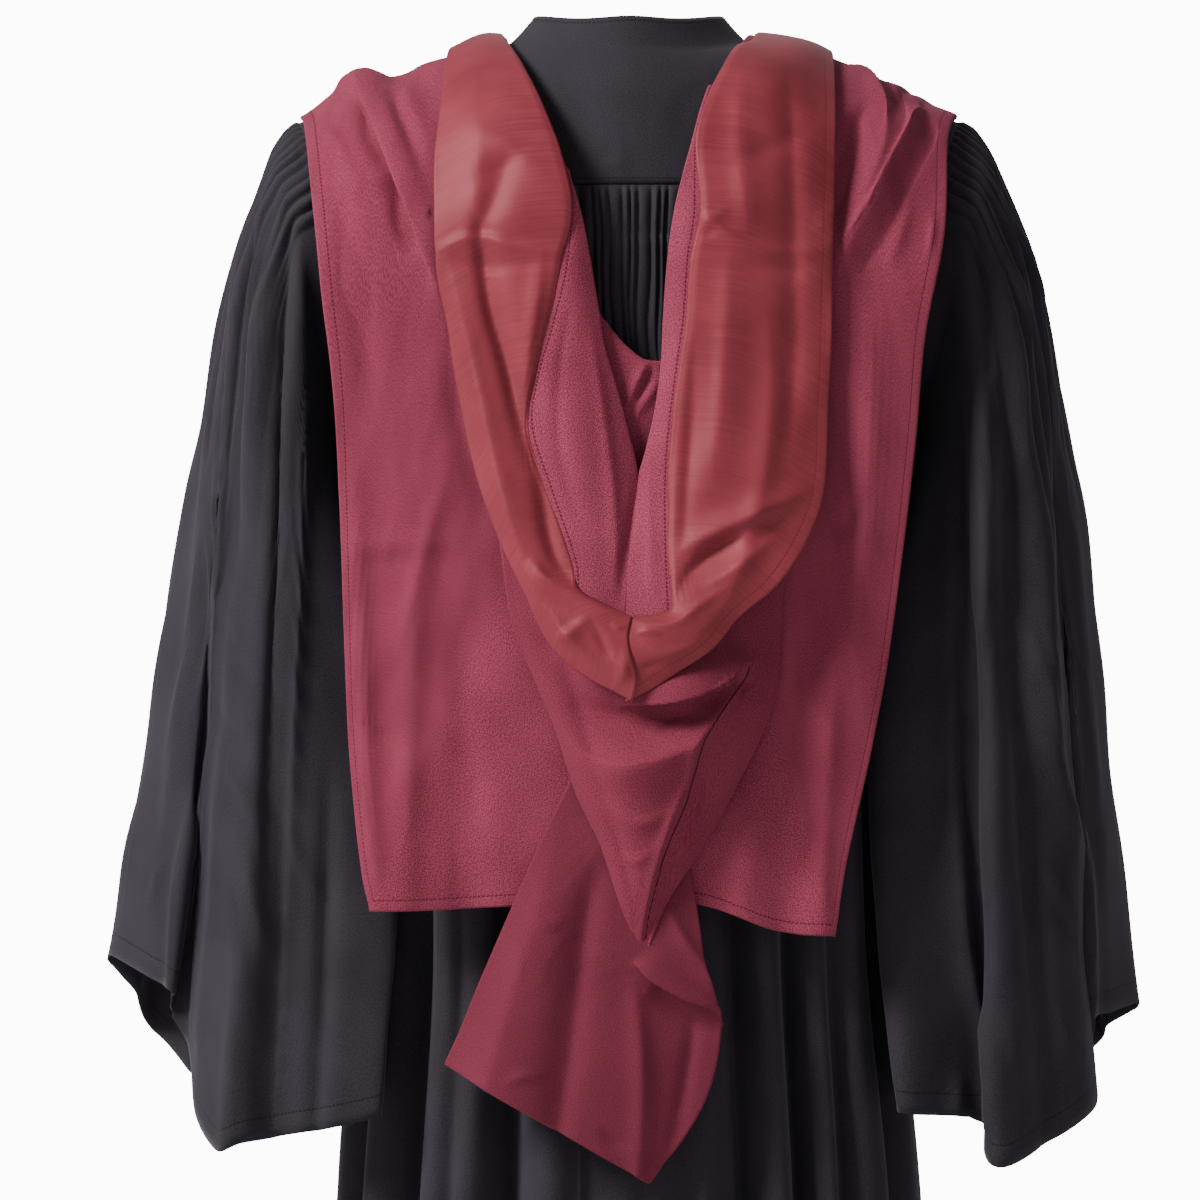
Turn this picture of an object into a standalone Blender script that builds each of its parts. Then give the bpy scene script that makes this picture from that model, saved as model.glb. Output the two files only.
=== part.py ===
"""Graduation gown with its hood, as it hangs on a wearer.

Metres. +X is the wearer's right, +Y the wearer's front and +Z up. The origin is in the neck opening, at the level
where the shoulders carry the cloth. Every piece is a thin wall of cloth whose points follow a few driving sizes and
short tables: a row of a table is one section or one fold, and its columns are named in the table's first line.
"""

import bmesh
import bpy
import numpy as np

SEAM_GAP = 0.0004
GOWN_CLOTH = 0.0018
HOOD_CLOTH = 0.0016

# The figure that the cloth hangs on: a shoulder line, a rounded back and a rounded chest. The gown lies on it, and
# the hood on a second skin outside the gown.
SHOULDER_PEAK = 0.0415
SHOULDER_SLOPE = 0.375
SHOULDER_SOFTNESS = 0.020
SHOULDER_HALF_WIDTH = 0.243
BACK_DROP = 0.160
CHEST_DROP = 0.150
GOWN_SKIN = {"rise": 0.0, "back": 0.125, "narrowing": 0.25, "chest": 0.100, "lean": 0.0}
HOOD_SKIN = {"rise": 0.004, "back": 0.139, "narrowing": 0.10, "chest": 0.112, "lean": 0.02}

# The gown's body below the armholes.
HEM_Z = -1.150
UNDERARM_Z = -0.280
YOKE_SEAM_Z = -0.103
YOKE_FRONT_REACH = 0.107
NECK_SIDE_X = 0.070
NECK_SIDE_WAY = -0.010
NECK_BACK_WAY = 0.080
NECK_STAND = 0.014
FRONT_EDGE_X = 0.085
BODY_SECTIONS = (
    # z, half_width, back_depth, front_depth
    (-0.100, 0.223, 0.124, 0.098),
    (-0.280, 0.190, 0.124, 0.104),
    (-0.400, 0.186, 0.124, 0.108),
    (-0.520, 0.188, 0.124, 0.112),
    (-0.650, 0.196, 0.128, 0.116),
    (-0.830, 0.214, 0.137, 0.126),
    (-1.150, 0.228, 0.158, 0.138),
)
SIDE_SQUARENESS = 0.85
BACK_SQUARENESS = 0.80

ARMHOLE_X = 0.200
ARMHOLE_FLARE = 0.044
ARMHOLE_TOP_Z = -0.0505
ARMHOLE_SEAM = 0.0012
UNDERARM_GAP = 0.0030

YOKE_FLUTES = 56
FLUTE_DEPTH = 0.0032
FLUTE_END_Z = -0.340

BACK_LEVELS = (YOKE_SEAM_Z - SEAM_GAP, -0.122, -0.150, -0.190, -0.235, UNDERARM_Z, -0.380, -0.560, -0.830, HEM_Z)

BACK_VALLEYS = (
    # turn (degrees round from the centre back), half_width (degrees), depth, start_z
    (-73, 5.0, 0.022, -0.40),
    (-51, 6.0, 0.034, -0.30),
    (-35, 3.0, 0.010, -0.42),
    (-22, 4.5, 0.034, -0.30),
    (-7, 4.0, 0.014, -0.36),
    (6, 3.5, 0.010, -0.42),
    (19.5, 4.0, 0.034, -0.30),
    (33.5, 3.5, 0.036, -0.30),
    (47, 3.5, 0.020, -0.34),
    (66, 5.0, 0.026, -0.38),
)
FRONT_VALLEYS = (
    # turn (degrees round from the side seam to the front), half_width, depth, start_z
    (16, 6.0, 0.020, -0.34),
    (34, 6.0, 0.024, -0.30),
    (50, 5.0, 0.018, -0.26),
)


def ease(low, high, value):
    """Smooth step from 0 at low to 1 at high."""
    share = np.clip((value - low) / (high - low), 0.0, 1.0)
    return share * share * (3.0 - 2.0 * share)


def through(keys, rows, at):
    """Smooth curve through a table's rows: cubic pieces whose slopes come from the rows beside them."""
    keys, rows = np.asarray(keys, float), np.asarray(rows, float)
    at = np.clip(np.asarray(at, float), keys[0], keys[-1])
    slopes = np.gradient(rows, keys, axis=0)
    left = np.clip(np.searchsorted(keys, at, side="right") - 1, 0, len(keys) - 2)
    step = keys[left + 1] - keys[left]
    t = (at - keys[left]) / step
    shape = t.shape + (1,) * (rows.ndim - 1)
    t, step = t.reshape(shape), step.reshape(shape)
    start = (2 * t**3 - 3 * t**2 + 1) * rows[left] + (t**3 - 2 * t**2 + t) * step * slopes[left]
    end = (3 * t**2 - 2 * t**3) * rows[left + 1] + (t**3 - t**2) * step * slopes[left + 1]
    return start + end


def shoulder_line(x):
    """Height of the shoulder ridge at x."""
    return SHOULDER_PEAK - SHOULDER_SLOPE * np.sqrt(x * x + SHOULDER_SOFTNESS**2)


def arc_length(depth, drop):
    """Length of the quarter ellipse from the ridge to the fullest part of the back or chest."""
    return np.pi / 2 * np.sqrt((depth * depth + drop * drop) / 2)


def back_depth(x, skin=GOWN_SKIN):
    """Depth of the back behind the shoulder ridge, which narrows towards the arms."""
    return skin["back"] * (1 - skin["narrowing"] * (x / SHOULDER_HALF_WIDTH) ** 2)


def figure(x, way, skin=GOWN_SKIN, lift=0.0):
    """Point of the figure at x, a given way from the shoulder ridge: down the back, or down the chest if negative."""
    behind = way >= 0
    depth = np.where(behind, back_depth(x, skin), skin["chest"])
    drop = np.where(behind, BACK_DROP, CHEST_DROP)
    length = arc_length(depth, drop)
    turn = np.clip(np.abs(way) / length, 0, 1) * np.pi / 2
    beyond = np.maximum(np.abs(way) - length, 0)
    up, out = np.cos(turn) / drop, np.sin(turn) / depth
    size = np.sqrt(up * up + out * out)
    z = shoulder_line(x) + skin["rise"] - drop * (1 - np.cos(turn)) - beyond + lift * up / size
    y = np.where(behind, -1, 1) * (depth * np.sin(turn) + skin["lean"] * beyond + lift * out / size)
    return np.stack([x, y, z], axis=-1)


def way_down(x, z, skin=GOWN_SKIN):
    """The way down the figure's back at which it is at height z."""
    depth = back_depth(x, skin)
    fall = np.clip(shoulder_line(x) + skin["rise"] - z, 0, None)
    turn = np.arccos(np.clip(1 - fall / BACK_DROP, 0, 1))
    return turn / (np.pi / 2) * arc_length(depth, BACK_DROP) + np.maximum(fall - BACK_DROP, 0)


def armhole(turn):
    """Armhole seam: 0 is the shoulder point, half a turn the underarm, positive turns go down the back."""
    turn = np.asarray(turn, float)
    half_height = (ARMHOLE_TOP_Z - UNDERARM_Z) / 2
    x = ARMHOLE_X + ARMHOLE_FLARE * ((1 + np.cos(turn)) / 2) ** 2
    z = UNDERARM_Z + half_height * (1 + np.cos(turn))
    fall = np.clip(shoulder_line(x) - z, 0, None)
    back = back_depth(x) * np.sqrt(1 - (1 - np.clip(fall / BACK_DROP, 0, 1)) ** 2)
    chest = GOWN_SKIN["chest"] * np.sqrt(1 - (1 - np.clip(fall / CHEST_DROP, 0, 1)) ** 2)
    close = np.sqrt(np.clip((1 + np.cos(turn)) / (1 + np.cos(ARMHOLE_CORNER)), 0, 1))
    y = np.where(turn >= 0, -back, chest) * np.where(np.abs(turn) > ARMHOLE_CORNER, close, 1)
    return np.stack([x, y, z], axis=-1)


def corner_turn():
    """The turn at which the armhole reaches the yoke seam on the back."""
    half_height = (ARMHOLE_TOP_Z - UNDERARM_Z) / 2
    return float(np.arccos((YOKE_SEAM_Z - UNDERARM_Z) / half_height - 1))


ARMHOLE_CORNER = corner_turn()


def normals(grid, ring=False):
    """Unit normals of a grid of points, out of the side on which its rows go down and its columns to the right."""
    if ring:
        along = np.roll(grid, -1, axis=1) - np.roll(grid, 1, axis=1)
    else:
        along = np.gradient(grid, axis=1)
    down = np.gradient(grid, axis=0)
    normal = np.cross(down, along)
    return normal / np.maximum(np.linalg.norm(normal, axis=-1, keepdims=True), 1e-9)


def cloth(name, inner, outer, material, ring=False):
    """One closed wall of cloth between two grids of the same size, which may close on themselves as a ring."""
    rows, columns = inner.shape[:2]
    points = np.concatenate([inner.reshape(-1, 3), outer.reshape(-1, 3)])
    index = np.arange(rows * columns).reshape(rows, columns)
    if ring:
        index = np.concatenate([index, index[:, :1]], axis=1)
    other = index + rows * columns
    faces = []
    for grid, turned in ((index, False), (other, True)):
        corners = [grid[:-1, :-1], grid[:-1, 1:], grid[1:, 1:], grid[1:, :-1]]
        faces.append(np.stack(corners[::-1] if turned else corners, axis=-1).reshape(-1, 4))
    borders = [(index[0], other[0]), (other[-1], index[-1])]
    if not ring:
        borders += [(other[:, 0], index[:, 0]), (index[:, -1], other[:, -1])]
    for first, second in borders:
        corners = [first[:-1], second[:-1], second[1:], first[1:]]
        faces.append(np.stack(corners, axis=-1))
    mesh = bpy.data.meshes.new(name)
    mesh.from_pydata(points.tolist(), [], np.concatenate(faces).tolist())
    shape = bmesh.new()
    shape.from_mesh(mesh)
    bmesh.ops.recalc_face_normals(shape, faces=shape.faces)
    shape.to_mesh(mesh)
    shape.free()
    mesh.shade_smooth()
    mesh.materials.append(material)
    piece = bpy.data.objects.new(name, mesh)
    bpy.context.scene.collection.objects.link(piece)
    return piece


def finish_of(name, colour, roughness, sheen=0.0):
    """A plain cloth finish."""
    material = bpy.data.materials.new(name)
    material.use_nodes = True
    shader = material.node_tree.nodes["Principled BSDF"]
    shader.inputs["Base Color"].default_value = (*colour, 1.0)
    shader.inputs["Roughness"].default_value = roughness
    shader.inputs["Metallic"].default_value = 0.0
    shader.inputs["Sheen Weight"].default_value = sheen
    return material


# Gown: yoke, back, fronts and sleeves.


def yoke(material, columns=14):
    """The yoke lies over the shoulders: rings from the standing neck edge out to the seams and the armhole."""
    half = []
    split, corner = 0.35, 0.45
    shares = np.concatenate([np.linspace(0, corner, columns // 2)[:-1], np.linspace(corner, 1, columns // 2 + 2)])
    front_turn = -armhole_front_turn()
    for share in shares:
        if share < split:
            reach = share / split
            side = FRONT_EDGE_X + (NECK_SIDE_X - FRONT_EDGE_X) * reach
            neck = (side, -YOKE_FRONT_REACH + reach * (YOKE_FRONT_REACH + NECK_SIDE_WAY))
        else:
            quarter = (share - split) / (1 - split) * np.pi / 2
            neck = (NECK_SIDE_X * np.cos(quarter), NECK_SIDE_WAY + (NECK_BACK_WAY - NECK_SIDE_WAY) * np.sin(quarter))
        if share <= corner:
            seam = armhole(front_turn + (ARMHOLE_CORNER - front_turn) * share / corner)
            way = way_down(seam[0], seam[2]) if seam[1] < 0 else -way_front(seam[0], seam[2])
            edge = (seam[0], way)
        else:
            x = armhole(ARMHOLE_CORNER)[0] * (1 - (share - corner) / (1 - corner))
            edge = (x, way_down(x, YOKE_SEAM_Z))
        half.append((neck, edge))
    half = np.array(half, float)
    out = np.array([0, 0.05, 0.09, 0.14, 0.4, 0.7, 1])[:, None]
    flat = half[None, :, 0] * (1 - out[..., None]) + half[None, :, 1] * out[..., None]
    right = figure(flat[..., 0], flat[..., 1])
    stand = ease(0, split, shares)[None] * np.clip(1 - out / 0.12, 0, 1) ** 1.3
    right[..., 2] += NECK_STAND * stand
    left = right[:, :-1] * np.array([-1, 1, 1])
    grid = np.concatenate([left, right[:, ::-1]], axis=1)
    return cloth("gown_yoke", grid, grid + normals(grid) * GOWN_CLOTH, material)


def way_front(x, z):
    """The way down the chest at which the figure is at height z."""
    fall = np.clip(shoulder_line(x) - z, 0, None)
    turn = np.arccos(np.clip(1 - fall / CHEST_DROP, 0, 1))
    return turn / (np.pi / 2) * arc_length(GOWN_SKIN["chest"], CHEST_DROP)


def armhole_front_turn():
    """The turn at which the armhole reaches the yoke's front seam."""
    turns = np.linspace(0.2, 1.6, 400)
    points = armhole(-turns)
    return float(turns[np.argmin(np.abs(way_front(points[:, 0], points[:, 2]) - YOKE_FRONT_REACH))])


def section_at(z):
    """Half width, back depth and front depth of the body at height z."""
    table = np.array(BODY_SECTIONS)[::-1]
    return through(table[:, 0], table[:, 1:], z)


def body_edge(z, front):
    """Side edge of a body panel at height z: the armhole above the underarm, the side seam below it."""
    half_height = (ARMHOLE_TOP_Z - UNDERARM_Z) / 2
    turn = np.arccos(np.clip((np.clip(z, UNDERARM_Z, None) - UNDERARM_Z) / half_height - 1, -1, 1))
    edge = armhole(-turn if front else turn)
    half_width = section_at(z)[..., 0]
    below = ease(UNDERARM_Z, UNDERARM_Z - 0.06, z)
    x = (edge[..., 0] - ARMHOLE_SEAM) * (1 - below) + half_width * below
    return x, np.abs(edge[..., 1])


def valleys(turn, z, table):
    """How far the cloth sinks between its pipe folds: each row of the table is a furrow that deepens to the hem."""
    sunk = np.zeros(np.broadcast(turn, z).shape)
    for centre, half_width, depth, start in table:
        distance = (np.degrees(turn) - centre) / half_width
        sunk += depth * ease(start, HEM_Z * 0.75, z) * np.exp(-distance * distance)
    return sunk


def back_grid(columns, levels):
    """Base surface of the back from the yoke seam to the hem, with the pipe folds but no flutes."""
    share = np.linspace(-1, 1, columns)[None, :]
    z = np.array(levels)[:, None]
    edge_x, edge_y = body_edge(z, False)
    sections = section_at(z[:, 0])
    depth = sections[:, 1][:, None]
    side = np.arccos(np.clip(edge_y / depth, 0, 1) ** (1 / BACK_SQUARENESS))
    side = side - SEAM_GAP / 2 / edge_x
    turn = share * side
    x = edge_x * np.sign(share) * (np.abs(np.sin(turn)) / np.sin(side)) ** SIDE_SQUARENESS
    hang = depth * np.cos(turn) ** BACK_SQUARENESS
    fall = np.clip((shoulder_line(x) - z) / BACK_DROP, 0, 1)
    lying = back_depth(x) * np.sqrt(1 - (1 - fall) ** 2)
    to_armhole = np.clip(edge_y / lying[:, -1:], 0, 1)
    lying = lying * (1 - (1 - to_armhole) * np.abs(share) ** 6)
    settle = ease(YOKE_SEAM_Z, YOKE_SEAM_Z - 0.10, z)
    y = -(lying * (1 - settle) + hang * settle)
    grid = np.stack([x, y, np.broadcast_to(z, x.shape)], axis=-1)
    out_of = normals(grid)
    out_of[..., 2] = 0
    out_of /= np.linalg.norm(out_of, axis=-1, keepdims=True)
    sunk = valleys(turn, z, BACK_VALLEYS)
    return grid - out_of * sunk[..., None], out_of, share, z


def back(material):
    """The back is gathered into the yoke in narrow flutes and falls from them in broad pipe folds."""
    grid, out_of, share, z = back_grid(YOKE_FLUTES * 2 + 1, BACK_LEVELS)
    ridge = np.where(np.arange(grid.shape[1]) % 2 == 0, 0.0, 1.0)[None, :]
    fade = 1 - ease(YOKE_SEAM_Z - 0.02, FLUTE_END_Z, z)
    grid = grid + out_of * (ridge * fade * FLUTE_DEPTH)[..., None]
    return cloth("gown_back", grid, grid + out_of * GOWN_CLOTH, material)


def front(name, side, material, columns=16):
    """A front panel hangs from the yoke's front seam, open down the middle and seamed to the back at the side."""
    share = np.linspace(0, 1, columns)[None, :]
    corner = armhole(-armhole_front_turn()) - np.array([ARMHOLE_SEAM, 0, 0])
    under = (UNDERARM_Z - corner[2]) / (HEM_Z - corner[2])
    below = under + (1 - under) * np.linspace(0, 1, 7)[1:] ** 1.2
    drop = np.concatenate([np.linspace(0, under, 6), below])[:, None]
    top_x = FRONT_EDGE_X + (corner[0] - FRONT_EDGE_X) * (1 - share)
    top = figure(top_x, np.full_like(top_x, -YOKE_FRONT_REACH - SEAM_GAP))
    z = top[..., 2] + (HEM_Z - top[..., 2]) * drop
    edge_x, edge_y = body_edge(z[:, :1], True)
    depth = section_at(z[:, 0])[:, 2][:, None]
    start = np.pi / 2 - np.arccos(np.clip(edge_y / depth, 0, 1) ** (1 / BACK_SQUARENESS)) + SEAM_GAP / 2 / edge_x
    inner_x = FRONT_EDGE_X + 0.006 * np.sin(np.pi * drop)
    end = np.arccos(np.clip((inner_x / edge_x) ** (1 / SIDE_SQUARENESS) * np.cos(start), 0, 1))
    turn = start + (end - start) * share
    x = edge_x * (np.cos(turn) / np.cos(start)) ** SIDE_SQUARENESS
    hang = depth * np.sin(turn) ** BACK_SQUARENESS
    settle = ease(0, 0.16, drop)
    top_x = top[..., 0] + (edge_x - corner[0]) * (1 - share)
    top_y = top[..., 1] + (edge_y - corner[1]) * (1 - share)
    x = top_x * (1 - settle) + x * settle
    y = top_y * (1 - settle) + hang * settle
    grid = np.stack([x, y, z], axis=-1)
    out_of = normals(grid)
    out_of[..., 2] = 0
    out_of /= np.linalg.norm(out_of, axis=-1, keepdims=True)
    grid = grid - out_of * valleys(turn, z, FRONT_VALLEYS)[..., None]
    outer = grid + out_of * GOWN_CLOTH
    mirror = np.array([side, 1, 1])
    return cloth(name, grid * mirror, outer * mirror, material)


# Sleeves: tubes from the armhole to a wide hem, gathered into the armhole in cartridge flutes.

SLEEVE_FLUTES = 18
SLEEVE_FLUTE_DEPTH = 0.0055
SLEEVE_HEM_LEFT = (
    # turn (degrees round from the outer line, positive to the back), x, y, z (mm)
    (-180, -238, -8, -779),
    (-150, -252, 45, -792),
    (-128, -275, 88, -807),
    (-105, -306, 82, -796),
    (-85, -322, 62, -769),
    (-60, -354, 66, -731),
    (-35, -376, 34, -689),
    (0, -382, 0, -668),
    (18, -353, -40, -681),
    (30, -336, -54, -691),
    (40, -337, -40, -709),
    (50, -323, -40, -733),
    (62, -315, -72, -781),
    (72, -299, -100, -802),
    (84, -281, -110, -796),
    (98, -258, -98, -793),
    (112, -235, -112, -788),
    (130, -205, -120, -782),
    (145, -180, -118, -775),
    (156, -187, -100, -771),
    (168, -221, -66, -772),
    (180, -238, -8, -779),
)
SLEEVE_HEM_RIGHT = (
    # turn (degrees round from the outer line, positive to the back), x, y, z (mm)
    (-180, 240, -6, -776),
    (-150, 254, 48, -786),
    (-128, 278, 90, -803),
    (-105, 315, 84, -796),
    (-80, 338, 58, -766),
    (-50, 357, 58, -731),
    (-28, 371, 28, -712),
    (0, 375, 0, -703),
    (16, 355, -36, -707),
    (28, 338, -52, -712),
    (38, 338, -44, -741),
    (50, 341, -58, -768),
    (60, 333, -82, -778),
    (74, 298, -106, -799),
    (88, 265, -122, -812),
    (96, 259, -108, -801),
    (104, 263, -92, -784),
    (118, 240, -98, -778),
    (134, 204, -114, -775),
    (150, 196, -98, -773),
    (164, 220, -60, -775),
    (180, 240, -6, -776),
)
SLEEVE_BULGE = (
    # share of the way down, left sleeve, right sleeve, the inner side beside the body (mm)
    (0.00, 0, 0, 0),
    (0.05, 9, 13, 5),
    (0.14, 17, 25, 6),
    (0.30, 22, 34, -10),
    (0.50, 19, 30, -19),
    (0.75, 9, 15, -14),
    (1.00, 0, 0, 0),
)


def sleeve_grid(side, turns, shares):
    """Surface of a sleeve: lines from the armhole to the hem, bowed out by the bulge, most on the outer line."""
    hem = np.array(SLEEVE_HEM_LEFT if side < 0 else SLEEVE_HEM_RIGHT, float)
    bulge = np.array(SLEEVE_BULGE, float)
    head = armhole(turns) * np.array([side, 1, 1])
    head[:, 0] += side * (SEAM_GAP + UNDERARM_GAP * ease(1.1, 1.8, np.abs(turns)))
    foot = through(np.radians(hem[:, 0]), hem[:, 1:] / 1000, turns)
    down = shares[:, None, None]
    grid = head[None] * (1 - down) + foot[None] * down
    bows = through(bulge[:, 0], bulge[:, 1:] / 1000, shares)
    bow, inner_bow = bows[:, 0 if side < 0 else 1][:, None], bows[:, 2][:, None]
    outward = (0.5 + 0.5 * np.cos(turns))[None, :]
    inner_side = ease(1.7, 2.5, np.abs(turns))[None, :]
    grid[..., 0] += side * (bow * (0.35 + 0.65 * outward) * (1 - inner_side) + inner_bow * inner_side)
    grid[..., 1] -= bow * 0.45 * np.sin(turns)[None, :]
    grid[..., 2] += bow * 0.35 * outward * (1 - ease(0.0, 0.3, shares))[:, None]
    return grid


def sleeve(name, side, material, rows=9):
    """A sleeve is one tube, fluted at its head and open at the armhole and at the cuff."""
    fluted = np.radians(np.linspace(-62, 68, SLEEVE_FLUTES * 2 + 1))
    plain_front = np.radians(np.linspace(-180, -62, 14))[:-1]
    plain_back = np.radians(np.linspace(68, 180, 15))[1:-1]
    turns = np.concatenate([plain_front, fluted, plain_back])
    shares = np.concatenate([[0, 0.02, 0.06], np.linspace(0.13, 1, rows - 3)])
    grid = sleeve_grid(side, turns, shares)
    ridge = np.zeros(len(turns))
    ridge[len(plain_front) + 1 : len(plain_front) + len(fluted) - 1 : 2] = 1
    fade = (ease(-0.02, 0.02, shares) * (1 - ease(0.03, 0.16, shares)))[:, None]
    out_of = normals(grid, ring=True) * -side
    grid = grid + out_of * (ridge[None] * fade * SLEEVE_FLUTE_DEPTH)[..., None]
    out_of = normals(grid, ring=True) * -side
    return cloth(name, grid, grid + out_of * GOWN_CLOTH, material, ring=True)


# Hood: a cape over the shoulders, and a cowl of maroon cloth whose satin facing is turned out.

CAPE = (
    # x, z, lift of the neck edge, x, z, lift of the outer edge, belly between them (mm)
    (-85, -10, 0, -238, -56, 0, 0),
    (-72, -45, 0, -231, -98, 0, 0),
    (-59, -79, 0, -222, -173, 0, 0),
    (-47, -115, 0, -212, -259, 0, 0),
    (-36, -151, 0, -207, -374, 0, 0),
    (-27, -180, 0, -202, -504, 0, 0),
    (-22, -196, 0, -194, -593, 0, 0),
    (-17, -203, 0, -187, -624, 0, 0),
    (-12, -210, 0, -137, -624, 0, 0),
    (-3, -220, 0, -84, -621, 0, 0),
    (8, -229, 0, -7, -619, 0, 0),
    (16, -231, 0, 50, -619, 0, 0),
    (23, -231, 0, 108, -639, 0, 0),
    (27, -223, 0, 147, -642, 0, 0),
    (30, -209, 0, 157, -583, 0, 0),
    (35, -180, 0, 174, -504, 0, 0),
    (39, -151, 0, 187, -432, 0, 0),
    (43, -115, 0, 204, -295, 0, 0),
    (50, -79, 0, 212, -209, 0, 0),
    (60, -47, 0, 226, -137, 0, 0),
    (76, -10, 0, 232, -66, 0, 0),
)
CAPE_SHOULDER = (
    # neck x, outer x, way from the shoulder ridge (mm), for the right shoulder going from the back to the front
    (93, 243, 0),
    (99, 234, -45),
)
CAPE_FOLDS = (
    # x, z of one end, x, z of the other end, half width, height (mm)
    (-190, -22, -150, -90, 9, 8),
    (-150, -90, -118, -240, 12, 5),
    (205, -45, 160, -140, 8, 6),
    (225, -75, 150, -180, 8, 6),
    (220, -110, 165, -240, 9, 4),
)
LINING_LEFT = (
    # x, z, lift of the left edge, x, z, lift of the right edge, belly between them (mm)
    (-40, -114, 11, -37, -113, 9, 1),
    (-46, -149, 12, -32, -142, 8, 3),
    (-52, -180, 13, -24, -188, 7, 5),
    (-60, -215, 14, -19, -220, 7, 6),
    (-68, -243, 15, -10, -251, 8, 7),
    (-72, -279, 17, -4, -274, 9, 8),
    (-55, -328, 20, 4, -317, 11, 7),
    (-38, -374, 28, 3, -364, 21, 4),
    (-37, -392, 36, 0, -412, 38, 2),
)
LINING_RIGHT = (
    # x, z, lift of the left edge, x, z, lift of the right edge, belly between them (mm)
    (39, -98, 9, 45, -94, 11, 1),
    (32, -125, 8, 48, -125, 13, 3),
    (27, -160, 7, 42, -160, 14, 4),
    (24, -202, 7, 38, -202, 14, 4),
    (22, -238, 8, 33, -235, 15, 4),
    (16, -277, 9, 28, -274, 17, 4),
    (7, -317, 11, 26, -317, 21, 4),
    (7, -364, 21, 25, -364, 29, 3),
    (4, -412, 38, 26, -397, 37, 2),
)
SATIN_LEFT = (
    # x, z, lift of the left edge, x, z, lift of the right edge, belly between them (mm)
    (-133, -9, 5, -90, 4, 3, 3),
    (-137, -48, 5, -76, -20, 5, 5),
    (-140, -86, 8, -61, -54, 10, 5.4),
    (-140, -125, 8, -49, -86, 13, 5.4),
    (-139, -155, 8, -42, -124, 14.2, 5.4),
    (-136, -180, 9, -49, -160, 15.2, 4.8),
    (-130, -209, 10, -55, -194, 16.2, 4.2),
    (-122, -257, 13, -67, -239, 17.2, 4.2),
    (-108, -319, 20, -73, -282, 19.2, 3.6),
    (-92, -362, 29, -56, -328, 23.2, 4.2),
    (-73, -402, 38, -40, -374, 31.2, 3.6),
    (-55, -436, 45, -38, -393, 39.2, 3),
    (-28, -459, 51, -22, -403, 43.2, 3),
    (1, -474, 54, 1, -414, 44.2, 3),
)
SATIN_RIGHT = (
    # x, z, lift of the left edge, x, z, lift of the right edge, belly between them (mm)
    (91, 4, 3, 150, -11, 5, 3),
    (78, -3, 5, 149, -41, 6, 5),
    (67, -22, 8, 148, -65, 8, 5.4),
    (54, -50, 11, 147, -94, 8, 5.4),
    (47, -79, 14, 146, -119, 8, 5.4),
    (50, -122, 15.2, 145, -148, 8, 4.8),
    (43, -160, 16.2, 144, -187, 9, 4.8),
    (40, -202, 16.2, 143, -230, 10, 4.8),
    (35, -235, 17.2, 141, -266, 12, 4.8),
    (30, -274, 19.2, 138, -323, 18, 4.8),
    (27, -317, 23.2, 126, -358, 26, 4.8),
    (27, -364, 32.2, 105, -390, 36, 4.2),
    (28, -396, 40.2, 76, -415, 44, 3),
    (22, -408, 43.2, 53, -441, 50, 3),
    (2, -414, 44.2, 2, -474, 54, 3),
)
SATIN_SHOULDER = (
    # neck x, outer x, way from the shoulder ridge, lift of the neck edge, lift of the outer edge, belly (mm)
    (98, 140, -55, 2, 3, 3),
    (95, 143, -20, 3, 5, 5),
)
BAG = (
    # x, z, lift of the left edge, x, z, lift of the right edge, belly between them (mm)
    (-94, -353, 5, 122, -364, 5, 4),
    (-91, -372, 5, 110, -391, 5, 10),
    (-84, -420, 6, 108, -418, 6, 20),
    (-71, -454, 6, 107, -448, 6, 30),
    (-55, -492, 6, 99, -488, 6, 36),
    (-39, -541, 7, 72, -544, 7, 26),
    (-22, -577, 8.7, 53, -578, 8.7, 16),
    (-10, -613, 8.7, 29, -613, 8.7, 8),
    (1, -642, 8.7, 13, -642, 8.7, 2),
)
TAIL = (
    # x, z, lift of the left edge, x, z, lift of the right edge, belly between them (mm)
    (-32, -508, 2.2, 30, -547, 2.2, 0),
    (-43, -535, 2.2, 42, -596, 2.2, 1),
    (-63, -576, 2.2, 48, -630, 2.2, 2),
    (-82, -618, 2.2, 53, -662, 2.2, 2),
    (-108, -678, 2.2, 64, -706, 2.2, 3),
    (-122, -713, 2.2, 52, -762, 2.2, 4),
    (-132, -735, 2.2, 14, -819, 2.2, 4),
)
BAND_REACH = 0.175
BAND_WIDTH = 0.030


def fold_relief(x, z, folds):
    """Height of the folds at a point: each row is a ridge along a straight line that fades at its ends and sides."""
    height = np.zeros(np.shape(x))
    for x0, z0, x1, z1, half_width, peak in folds:
        along = np.array([x1 - x0, z1 - z0]) / 1000
        length = np.hypot(*along)
        dx, dz = x - x0 / 1000, z - z0 / 1000
        share = (dx * along[0] + dz * along[1]) / length**2
        aside = (dx * along[1] - dz * along[0]) / length * 1000 / half_width
        ends = ease(-0.15, 0.2, share) * (1 - ease(0.8, 1.15, share))
        height += peak / 1000 * ends * np.exp(-aside * aside)
    return height


def laid(rows):
    """Turn a table's rows (x, z, lift, twice, and the belly, in mm) into x, way and lift of both edges in metres."""
    rows = np.array(rows, float) / 1000
    left = np.stack([rows[:, 0], way_down(rows[:, 0], rows[:, 1], HOOD_SKIN), rows[:, 2]], axis=-1)
    right = np.stack([rows[:, 3], way_down(rows[:, 3], rows[:, 4], HOOD_SKIN), rows[:, 5]], axis=-1)
    return left, right, rows[:, 6]


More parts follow.
